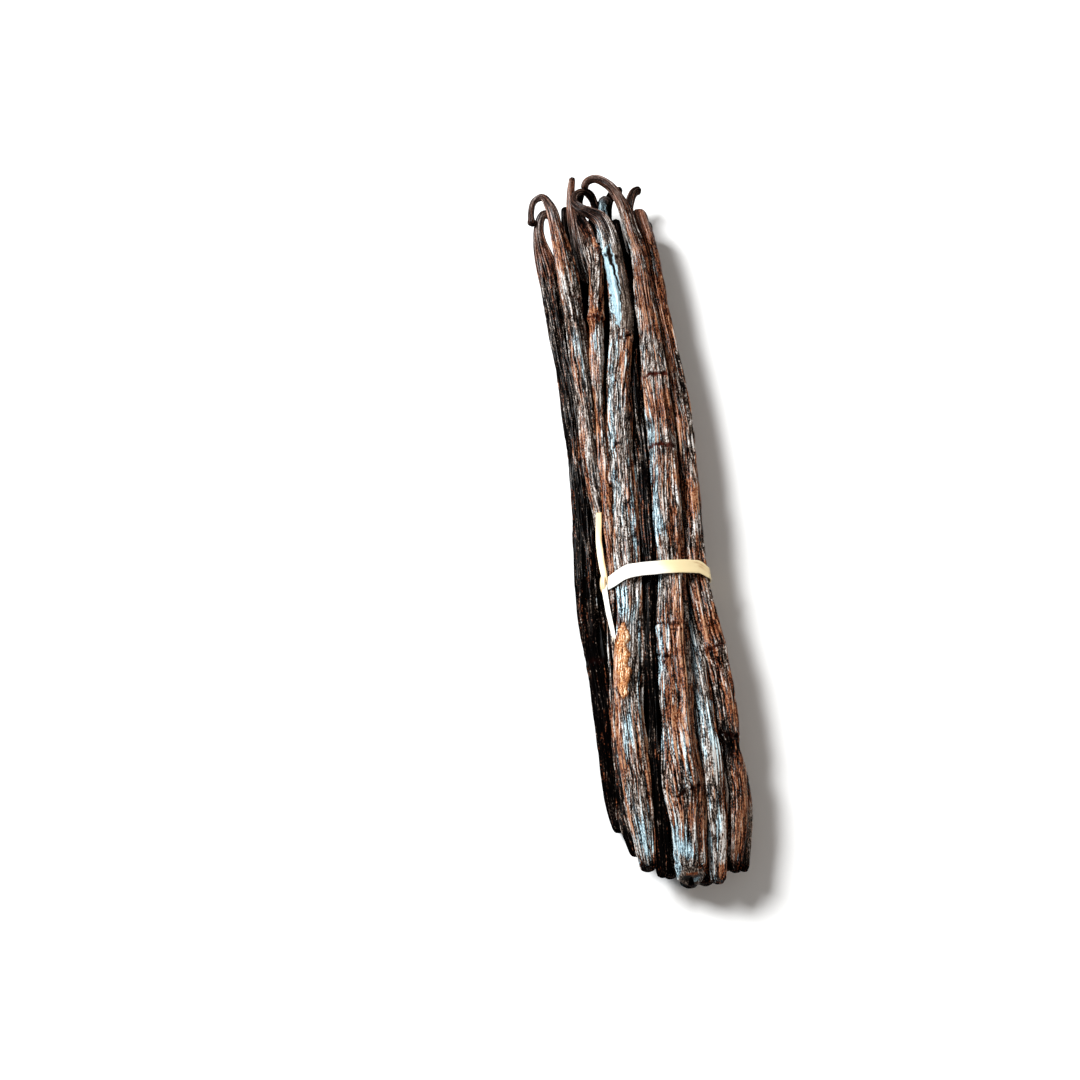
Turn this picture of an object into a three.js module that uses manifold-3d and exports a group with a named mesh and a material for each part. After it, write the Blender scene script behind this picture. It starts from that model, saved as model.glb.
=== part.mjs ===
// A bundle of cured vanilla pods held at the waist by one turn of raffia, lying on its side.
// Millimetres. The pods run along Y with their hooked stem ends towards +Y and their blunt
// blossom ends towards -Y. X goes across the bundle, Z is up and the floor is at Z = 0.
import * as THREE from "three";
import { mergeVertices } from "three/addons/utils/BufferGeometryUtils.js";
import Module from "manifold-3d";

const wasm = await Module();
wasm.setup();

// Where the raffia goes round, and the strip itself.
const TIE_Y = -18.6;
const TIE_WIDTH = 3.1;
const TIE_THICKNESS = 0.5;
const TIE_CLEARANCE = 0.35;
const TIE_DIRECTIONS = 44;

// The knot on the bundle's left shoulder, and the two loose tails along the left pods.
const KNOT = { at: [-9.0, TIE_Y, 11.3], across: 1.2, along: 3.9, tall: 2.1 };
const TAIL_THICKNESS = 0.45;
const TAIL_STEPS = 3;
const UPPER_TAIL = {
  width: 1.3,
  line: [[-9.1, -18.2, 11.4], [-9.2, -14.8, 11.0], [-9.4, -9.6, 10.8], [-8.8, -2.9, 11.6]],
};
const LOWER_TAIL = {
  width: 1.1,
  line: [[-9.1, -19.0, 11.4], [-8.9, -24.0, 11.4], [-8.8, -32.6, 11.5]],
};

// The stations along the bundle at which every pod's middle is placed, feet first.
const STATIONS = [-71, -51, TIE_Y, 4, 27, 47, 63];

// Where along the bundle a pod's height and its width are given, and how far along the pod
// the lift at the tie reaches.
const HEIGHT_AT = [-71, 47, 63];
const WIDTH_AT = [-71, TIE_Y, 15, 45, 63];
const LIFT_REACH = 16;

// The blossom end: its width over the body's, and how it rounds off, as shares of the last
// stretch and of the width there.
const FOOT_WIDTH = 0.62;
const FOOT_ROUNDING = [[0, 0.7], [0.09, 0.98]];

// The stem: it thins from the neck over the first hook points, as many as the pod's own
// `stem` says or else as here, and ends a little rounded.
const STEM_POINTS = 2.2;
const STEM_WIDTH = 2.3;
const STEM_END_WIDTH = 2.0;
const STEM_END_ROUNDING = 0.75;

// Facets: sides round a pod and round the core, and the spacing of a pod's rings along its
// body and its hook.
const POD_SIDES = 9;
const CORE_SIDES = 12;
const BODY_STEP = 8;
const HOOK_STEP = 1.7;

// Each pod: x is its middle across the bundle at the stations; z its middle height at
// HEIGHT_AT; lift what the tie adds to that height; w its width at WIDTH_AT; flat its height
// over its width; foot the middle of its blossom end; hook the middle line of its stem end.
// The outer left pod lies against the others outside the tie.
const PODS = [
  {
    name: "outer left",
    outside: true,
    x: [-11.6, -11.5, -12.3, -10.7, -10.4, -11.4, -13.0],
    z: [3.2, 4.6, 7.4],
    lift: 0.4,
    w: [4.5, 5.9, 5.7, 5.0, 3.8],
    flat: 0.9,
    foot: [-11.4, -73.4, 4.2],
    hook: [
      [-13.8, 71, 9], [-13.7, 75, 10], [-12.3, 77.6, 10.9], [-10.8, 77.5, 10.7],
      [-9.8, 75.7, 9.8],
    ],
  },
  {
    name: "left top",
    x: [-9.6, -9.2, -6.4, -7.6, -8.0, -8.2, -8.8],
    z: [6.4, 11.6, 12.9],
    lift: -0.7,
    w: [4.2, 3.8, 3.5, 4.5, 4.5],
    flat: 1.0,
    foot: [-8.6, -79.4, 6.6],
    hook: [
      [-9.7, 72.2, 13.8], [-10.7, 77.4, 14.2], [-12.2, 80.9, 13.8], [-14.6, 80.3, 13.0],
      [-15.5, 77.7, 12.0], [-15.3, 74.6, 11.0],
    ],
  },
  {
    name: "slim left",
    x: [-6.2, -8.0, -6.7, -5.7, -4.9, -2.9, -1.4],
    z: [6.6, 12.5, 12.0],
    lift: 0.8,
    w: [4.0, 3.2, 3.0, 3.4, 3.1],
    flat: 1.1,
    foot: [-5.6, -82.2, 6.6],
    hook: [
      [-2.0, 70, 11.2], [-2.4, 76, 9.4], [-3.1, 81.4, 9.2], [-1.5, 83.4, 9.0],
      [0.8, 82.5, 8.6], [1.4, 80.2, 8.2],
    ],
  },
  {
    name: "top left",
    x: [-7.5, -7.0, -3.2, -1.8, 0.4, 3.3, 3.1],
    z: [10.7, 12.2, 12.8],
    lift: 0.4,
    w: [6.2, 6.3, 4.9, 5.8, 4.2],
    flat: 0.84,
    stem: 4.5,
    foot: [-7.5, -83.4, 9.8],
    hook: [
      [2.2, 69.7, 13.2], [1.2, 73.2, 13.0], [-0.7, 75.3, 12.8], [-3.1, 77.0, 12.6],
      [-4.5, 79.1, 12.4], [-4.0, 81.2, 12.4], [-2.5, 82.2, 12.2],
    ],
  },
  {
    name: "recessed",
    x: [-3.6, -2.2, 1.2, 3.0, 4.2, 5.6, 5.6],
    z: [10.2, 10.0, 8.6],
    lift: 1.8,
    w: [3.7, 3.7, 3.6, 4.0, 3.4],
    flat: 1.08,
    foot: [-4.4, -84.6, 9.2],
    hook: [[5.5, 71, 8.0], [5.7, 76.5, 7.2]],
  },
  {
    name: "broad top",
    x: [2.1, 2.8, 5.7, 7.7, 9.0, 9.2, 9.4],
    z: [11.4, 12.4, 13.0],
    lift: 0.1,
    w: [7.7, 6.9, 6.4, 4.9, 3.6],
    flat: 0.86,
    foot: [1.1, -85.6, 10.6],
    hook: [
      [8.2, 69, 13.8], [7.7, 74, 13.6], [6.6, 79, 13.0], [4.6, 83.6, 12.2],
      [1.6, 86.2, 11.6], [-0.6, 85.8, 10.9], [-1.3, 84.0, 10.3],
    ],
  },
  {
    name: "right top",
    x: [13.3, 14.0, 11.9, 13.3, 13.9, 13.0, 12.5],
    z: [9.6, 10.0, 9.6],
    lift: 0.3,
    w: [3.9, 5.1, 4.2, 4.2, 4.4],
    flat: 0.92,
    stem: 6,
    foot: [10.8, -85.2, 9.2],
    hook: [[11.8, 70, 9.4], [11.5, 74.6, 9.0], [11.7, 78.2, 8.4]],
  },
  {
    name: "right wedge",
    x: [8.6, 9.2, 9.2, 10.2, 11.0, 10.8, 10.2],
    z: [10.2, 7.0, 6.6],
    lift: -0.9,
    w: [4.5, 4.0, 4.0, 4.0, 3.2],
    flat: 0.95,
    foot: [6.9, -87.2, 9.0],
    hook: [
      [9.4, 72, 6.8], [9.4, 78.4, 7.2], [10.2, 81.6, 7.8], [11.4, 83.7, 8.0],
      [13.2, 84.4, 8.0],
    ],
  },
  {
    name: "right flank",
    x: [15.0, 13.8, 11.9, 13.0, 13.4, 13.2, 12.9],
    z: [5.4, 5.0, 5.4],
    lift: 1.4,
    w: [3.3, 3.9, 4.2, 4.2, 3.2],
    flat: 1.05,
    foot: [13.2, -84.8, 5.8],
    hook: [[13.0, 71, 5.8], [13.8, 76.0, 6.2]],
  },
  {
    name: "middle left",
    x: [-2.2, -2.9, -1.9, -1.1, -1.4, -1.2, -3.2],
    z: [6.2, 7.4, 8.0],
    lift: 1.2,
    w: [5.0, 5.0, 5.2, 5.2, 3.8],
    flat: 0.84,
    foot: [-2.6, -84.7, 6.2],
    hook: [[-4.4, 71, 8.8], [-4.9, 78.6, 9.8], [-4.7, 83.4, 10.6], [-3.9, 87.6, 11.0]],
  },
  {
    name: "middle right",
    x: [3.6, 3.0, 3.6, 4.2, 4.8, 5.2, 3.8],
    z: [6.3, 6.6, 7.4],
    lift: 1.1,
    w: [5.4, 5.0, 5.2, 5.0, 3.8],
    flat: 0.84,
    foot: [1.1, -87.0, 6.2],
    hook: [[2.9, 71, 8.4], [2.5, 78.4, 9.2], [3.4, 81.3, 9.4], [4.9, 80.2, 9.0]],
  },
  {
    name: "bottom left",
    x: [-6.6, -6.9, -4.1, -5.5, -6.5, -6.9, -6.6],
    z: [2.2, 3.4, 4.6],
    lift: 1.5,
    w: [5.6, 5.0, 5.6, 5.8, 4.2],
    flat: 0.84,
    foot: [-7.0, -79.8, 3.0],
    hook: [[-6.7, 71, 6.2], [-6.7, 77, 7.6], [-6.5, 81.0, 8.2]],
  },
  {
    name: "bottom middle left",
    x: [-1.3, -1.2, 0.7, -0.1, -1.4, -1.8, -1.4],
    z: [2.1, 2.1, 2.8],
    lift: 1.6,
    w: [5.6, 5.0, 5.6, 5.6, 4.2],
    flat: 0.84,
    foot: [-1.9, -82.6, 2.6],
    hook: [[-0.8, 71, 4.0], [-0.1, 76.5, 5.4], [1.0, 79.2, 6.4]],
  },
  {
    name: "bottom middle right",
    x: [4.2, 4.6, 5.8, 5.1, 4.0, 3.8, 4.0],
    z: [2.1, 2.1, 3.2],
    lift: 1.6,
    w: [5.6, 5.0, 5.6, 5.6, 4.2],
    flat: 0.84,
    foot: [5.1, -86.6, 4.4],
    hook: [
      [3.4, 71, 4.8], [3.6, 78, 6.8], [4.9, 82.4, 7.8], [6.4, 84.2, 8.0],
      [8.5, 84.7, 8.0],
    ],
  },
  {
    name: "bottom right",
    x: [9.7, 10.2, 9.9, 10.4, 9.6, 9.6, 11.6],
    z: [2.3, 2.2, 3.4],
    lift: 1.9,
    w: [5.6, 4.8, 5.4, 5.4, 4.0],
    flat: 0.84,
    foot: [9.6, -84.0, 3.6],
    hook: [[13.6, 68.4, 4.4], [14.4, 71.6, 5.0]],
  },
];

// The core that stands in for whatever lies between the pods: middle x and z, width, height.
const CORE = [
  { y: -77, x: 2.0, z: 6.6, w: 12, h: 5 },
  { y: -71, x: 2.0, z: 6.4, w: 19, h: 8 },
  { y: -51, x: 2.0, z: 6.4, w: 20, h: 8.4 },
  { y: TIE_Y, x: 2.6, z: 8.0, w: 16, h: 8.4 },
  { y: 4, x: 3.0, z: 7.2, w: 18, h: 8 },
  { y: 27, x: 3.0, z: 6.8, w: 19, h: 8 },
  { y: 47, x: 2.6, z: 6.8, w: 19, h: 8 },
  { y: 62, x: 2.6, z: 7.0, w: 15, h: 6 },
  { y: 70, x: 2.6, z: 7.0, w: 6, h: 3 },
];

const UP = new THREE.Vector3(0, 0, 1);
const UP_AND_LEFT = new THREE.Vector3(-1, 0, 1).normalize();

// The value at `at` of straight lines through the given values, held at their ends.
function between(places, values, at) {
  const last = places.length - 1;
  if (at <= places[0]) return values[0];
  if (at >= places[last]) return values[last];
  const i = places.findIndex((place) => place > at) - 1;
  return THREE.MathUtils.mapLinear(at, places[i], places[i + 1], values[i], values[i + 1]);
}

// A closed surface through rings of equally many points, each end closed round its middle.
function loft(rings) {
  const sides = rings[0].length;
  const middle = (ring) => ring.reduce((sum, p) => sum.add(p), new THREE.Vector3()).divideScalar(sides);
  const points = [...rings.flat(), middle(rings[0]), middle(rings.at(-1))];
  const foot = points.length - 2;
  const tip = points.length - 1;
  const index = [];
  for (let j = 0; j < sides; j++) {
    const k = (j + 1) % sides;
    for (let i = 0; i + 1 < rings.length; i++) {
      const a = i * sides;
      const b = a + sides;
      index.push(a + j, b + k, a + k, a + j, b + j, b + k);
    }
    const end = (rings.length - 1) * sides;
    index.push(foot, j, k, tip, end + k, end + j);
  }
  const geometry = new THREE.BufferGeometry().setFromPoints(points);
  geometry.setIndex(index);
  return geometry;
}

// A geometry as a solid that can be joined and cut.
function solidOf(geometry) {
  geometry.deleteAttribute("normal");
  geometry.deleteAttribute("uv");
  const merged = mergeVertices(geometry, 1e-4);
  const mesh = new wasm.Mesh({
    numProp: 3,
    vertProperties: merged.attributes.position.array,
    triVerts: new Uint32Array(merged.index.array),
  });
  return new wasm.Manifold(mesh);
}

// The middle line of a pod with its width and height, from the blossom end to the stem end.
function podStations(pod) {
  const liftAt = (y) => pod.lift * Math.exp(-(((y - TIE_Y) / LIFT_REACH) ** 2));
  const stations = STATIONS.map((y, i) => {
    const w = between(WIDTH_AT, pod.w, y);
    const z = between(HEIGHT_AT, pod.z, y) + liftAt(y);
    return { p: new THREE.Vector3(pod.x[i], y, z), w, h: w * pod.flat };
  });
  const end = pod.w[0] * FOOT_WIDTH;
  stations.unshift({ p: new THREE.Vector3(...pod.foot), w: end, h: end * pod.flat });
  pod.hook.forEach((point, i) => {
    const thinning = THREE.MathUtils.lerp(pod.w.at(-1), STEM_WIDTH, (i + 1) / (pod.stem ?? STEM_POINTS));
    const w = Math.max(STEM_END_WIDTH, thinning);
    stations.push({ p: new THREE.Vector3(...point), w, h: w });
  });
  return stations;
}

// A smooth line through points.
function lineThrough(points) {
  return new THREE.CatmullRomCurve3(points, false, "centripetal");
}

// The rings of facets of a pod along its middle line. A ring's place is counted in stations.
function podRings(pod) {
  const stations = podStations(pod);
  const line = lineThrough(stations.map((station) => station.p));
  const ringAt = (at, scale) => {
    const i = Math.min(Math.floor(at), stations.length - 2);
    const part = at - i;
    const w = THREE.MathUtils.lerp(stations[i].w, stations[i + 1].w, part) * scale;
    const h = THREE.MathUtils.lerp(stations[i].h, stations[i + 1].h, part) * scale;
    const t = at / (stations.length - 1);
    const centre = line.getPoint(t);
    const forward = line.getTangent(t);
    const side = forward.clone().cross(UP).normalize();
    const up = side.clone().cross(forward);
    const ring = [];
    for (let j = 0; j < POD_SIDES; j++) {
      const turn = (2 * Math.PI * (j + 0.5)) / POD_SIDES;
      const point = centre.clone();
      point.addScaledVector(side, (Math.cos(turn) * w) / 2);
      point.addScaledVector(up, (Math.sin(turn) * h) / 2);
      ring.push(point);
    }
    return ring;
  };
  const rings = FOOT_ROUNDING.map(([at, scale]) => ringAt(at, scale));
  for (let i = 0; i + 1 < stations.length; i++) {
    const run = stations[i].p.distanceTo(stations[i + 1].p);
    const steps = Math.max(1, Math.round(run / (i < STATIONS.length ? BODY_STEP : HOOK_STEP)));
    for (let k = i === 0 ? 1 : 0; k < steps; k++) rings.push(ringAt(i + k / steps, 1));
  }
  rings.push(ringAt(stations.length - 1, STEM_END_ROUNDING));
  return rings;
}

// The core as one tapering body.
function coreRings() {
  return CORE.map(({ y, x, z, w, h }) => {
    const outline = new THREE.EllipseCurve(x, z, w / 2, h / 2, 0, 2 * Math.PI);
    return outline.getPoints(CORE_SIDES).slice(1).map((q) => new THREE.Vector3(q.x, y, q.y));
  });
}

// The largest body of a solid, without its hollows and scraps.
function wholeBody(solid) {
  return solid.decompose().reduce((best, body) => (body.volume() > best.volume() ? body : best));
}

// A solid as a mesh with its own material.
function meshOf(solid, name, material) {
  const { vertProperties, triVerts } = solid.getMesh();
  const geometry = new THREE.BufferGeometry();
  geometry.setAttribute("position", new THREE.BufferAttribute(vertProperties, 3));
  geometry.setIndex(new THREE.BufferAttribute(triVerts, 1));
  geometry.computeVertexNormals();
  const mesh = new THREE.Mesh(geometry, material);
  mesh.name = name;
  return mesh;
}

// The pods and the core in one, cut flat where the lowest pods rest on the floor.
function bundle(pods) {
  const parts = [...pods.map(podRings), coreRings()].map((rings) => solidOf(loft(rings)));
  const joined = parts.reduce((sum, part) => sum.add(part));
  const floor = new THREE.BoxGeometry(400, 400, 20).translate(0, 0, -10);
  return wholeBody(joined.subtract(solidOf(floor)));
}

// The points, seen along the bundle, at which the pods' long edges cross the strip's middle
// and both its edges.
function waistPoints(pods) {
  const points = [];
  for (const rings of pods.map(podRings)) {
    for (const edge of [TIE_Y - TIE_WIDTH / 2, TIE_Y, TIE_Y + TIE_WIDTH / 2]) {
      const i = rings.findIndex((ring, k) => k > 0 && ring[0].y > edge);
      rings[i].forEach((b, j) => {
        const p = rings[i - 1][j].clone();
        p.lerp(b, (edge - p.y) / (b.y - p.y));
        points.push(new THREE.Vector2(p.x, p.z));
      });
    }
  }
  return points;
}

// A convex outline that keeps `gap` clear of the given points. It has one straight side for
// each direction, and a corner where two neighbouring sides cross.
function wrapOutline(points, gap) {
  const sides = [];
  for (let k = 0; k < TIE_DIRECTIONS; k++) {
    const turn = (2 * Math.PI * k) / TIE_DIRECTIONS;
    const n = new THREE.Vector2(Math.cos(turn), Math.sin(turn));
    sides.push({ n, reach: Math.max(...points.map((p) => p.dot(n))) + gap });
  }
  return sides.map(({ n, reach }, k) => {
    const next = sides[(k + 1) % TIE_DIRECTIONS];
    const cross = n.cross(next.n);
    const x = (reach * next.n.y - next.reach * n.y) / cross;
    const z = (n.x * next.reach - next.n.x * reach) / cross;
    return new THREE.Vector2(x, z);
  });
}

// A flat strip of raffia through points, with its face turned to `facing`.
function ribbon(points, width, facing) {
  const line = lineThrough(points.map((point) => new THREE.Vector3(...point)));
  const steps = TAIL_STEPS * (points.length - 1);
  const rings = [];
  for (let i = 0; i <= steps; i++) {
    const centre = line.getPoint(i / steps);
    const forward = line.getTangent(i / steps);
    const side = forward.clone().cross(facing).normalize();
    const out = side.clone().cross(forward);
    const corner = (a, b) =>
      centre.clone().addScaledVector(side, (a * width) / 2).addScaledVector(out, (b * TAIL_THICKNESS) / 2);
    rings.push([corner(1, -1), corner(1, 1), corner(-1, 1), corner(-1, -1)]);
  }
  return solidOf(loft(rings));
}

// The raffia: one turn round the waist, a knot on the left shoulder and two loose tails.
function tie(pods) {
  const points = waistPoints(pods.filter((pod) => !pod.outside));
  const inner = wrapOutline(points, TIE_CLEARANCE);
  const outer = wrapOutline(points, TIE_CLEARANCE + TIE_THICKNESS);
  const shape = new THREE.Shape(outer);
  shape.holes.push(new THREE.Path(inner));
  const ring = new THREE.ExtrudeGeometry(shape, { depth: TIE_WIDTH, bevelEnabled: false });
  ring.rotateX(Math.PI / 2).translate(0, TIE_Y + TIE_WIDTH / 2, 0);
  const knot = new THREE.SphereGeometry(0.5, 12, 8);
  knot.scale(KNOT.across, KNOT.along, KNOT.tall).rotateY(Math.PI / 4).translate(...KNOT.at);
  const tails = [UPPER_TAIL, LOWER_TAIL].map(({ line, width }) => ribbon(line, width, UP_AND_LEFT));
  return wholeBody(tails.reduce((sum, tail) => sum.add(tail), solidOf(ring).add(solidOf(knot))));
}

const podMaterial = new THREE.MeshStandardMaterial({ color: 0x2b1a12, roughness: 0.45, metalness: 0 });
const raffiaMaterial = new THREE.MeshStandardMaterial({ color: 0xf1e6c4, roughness: 0.6, metalness: 0 });

const group = new THREE.Group();
group.name = "vanilla_bundle";
group.add(meshOf(bundle(PODS), "pods", podMaterial));
group.add(meshOf(tie(PODS), "tie", raffiaMaterial));

export default group;
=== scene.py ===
"""A bundle of cured vanilla pods held at the waist by one turn of raffia, lying on its side.

Every pod is one closed skin, worked out on a grid of places along the pod and round it: a middle
line, a width and a height, and wrinkles, nodes, scars and creases laid over them in millimetres.
The meshes are in metres, with Z up, the hooked stem ends towards +Y and the floor at Z = 0.
"""

import bpy
import numpy as np
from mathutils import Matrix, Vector


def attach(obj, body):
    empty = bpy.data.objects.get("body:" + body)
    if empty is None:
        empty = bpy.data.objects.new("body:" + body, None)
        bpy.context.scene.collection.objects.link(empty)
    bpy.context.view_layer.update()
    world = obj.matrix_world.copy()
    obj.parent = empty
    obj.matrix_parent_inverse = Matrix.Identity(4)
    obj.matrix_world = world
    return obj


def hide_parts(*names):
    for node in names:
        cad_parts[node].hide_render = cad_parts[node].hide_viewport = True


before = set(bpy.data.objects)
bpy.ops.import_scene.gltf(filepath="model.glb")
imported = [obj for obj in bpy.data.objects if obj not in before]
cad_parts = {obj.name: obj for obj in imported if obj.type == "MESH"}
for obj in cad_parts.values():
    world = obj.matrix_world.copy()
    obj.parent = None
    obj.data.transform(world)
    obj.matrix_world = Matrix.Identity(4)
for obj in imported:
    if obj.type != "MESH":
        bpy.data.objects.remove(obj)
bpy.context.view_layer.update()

MM = 0.001
UP = np.array([0.0, 0.0, 1.0])
LEFT_AND_UP = np.array([-0.50, 0.0, 0.87])
TURN = 2 * np.pi

# The raffia: where it goes round and how wide it is, as in the solid part, how thick and how
# clear of the pods it is, and its knot.
TIE_Y = -18.6
TIE_WIDTH = 3.1
TIE_THICKNESS = 0.38
TIE_CLEARANCE = 0.16
KNOT_AT = np.array([-9.1, TIE_Y - 0.9, 11.1])

# Where along the bundle a pod's middle, its height above the floor, its width and its darkness
# are given, and how far along it the lift at the tie reaches.
STATIONS = (-71, -51, TIE_Y, 4, 27, 47, 63)
HEIGHT_AT = (-71, 47, 63)
WIDTH_AT = (-71, TIE_Y, 15, 45, 63)
DARK_AT = (-60, 5, 70)
LIFT_REACH = 16

# Unless a pod says otherwise: the blossom end's width over the body's, the width that the stem
# thins to and the number of hook points that takes, its least width, how far from its end it
# begins, how plain the blossom end's scar is, and how much that end leans.
FOOT_WIDTH = 0.66
STEM_WIDTH = 2.2
STEM_POINTS = 2.2
STEM_END_WIDTH = 1.9
STEM_REACH = 24
SCAR = 0.3
BEVEL = 0.25

# How the ends round off: the rounding's length over the width at the foot, at the tip, and what
# a ball adds to that; the curves' powers; the first ring's share of the width; how many rings.
FOOT_CAP = 0.36
TIP_CAP = 0.5
BALL_CAP = 0.7
FOOT_POWER = 2.4
TIP_POWER = 2
FIRST_RING = 0.06
CAP_RINGS = 15

# Grid steps in millimetres, round and along, for pods that show on top and for those underneath,
# the least and most points in a ring, and how much closer they stand on the upper side.
TOP_GRID = (0.165, 0.42)
LOW_GRID = (0.29, 0.80)
RING_POINTS = (56, 150)
CROWDING = 0.35

# The ridges: spacing round the pod and length along it, and how far they stand out.
FOLD = (3.1, 34.0, 0.50)
WRINKLE = (0.62, 18.0, 0.38)
FIBRE = (0.32, 8.0, 0.15)

# The patches of rust, of grey-blue film with its painted sheen and of pale skin: how many round
# the pod, and their length.
PATCHES = ((4, 16.0), (5, 13.0), (6, 11.0))

# How far a pod's skin draws in where another pod lies against it, as a share of its radius, and
# how far all skin keeps from the floor.
DRAWN_IN = 0.10
FLOOR_GAP = 0.02

# What the four pods at the bottom share.
BOTTOM = dict(low=True, rust=(0.4, 0.4, 0.5), bloom=(0.2, 0.2, 0.1), dark=(0.1, 0.1, 0.1),
              pale=0.5, w=(5.6, 5.0, 5.6, 5.6, 4.2), flat=0.84)
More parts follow.
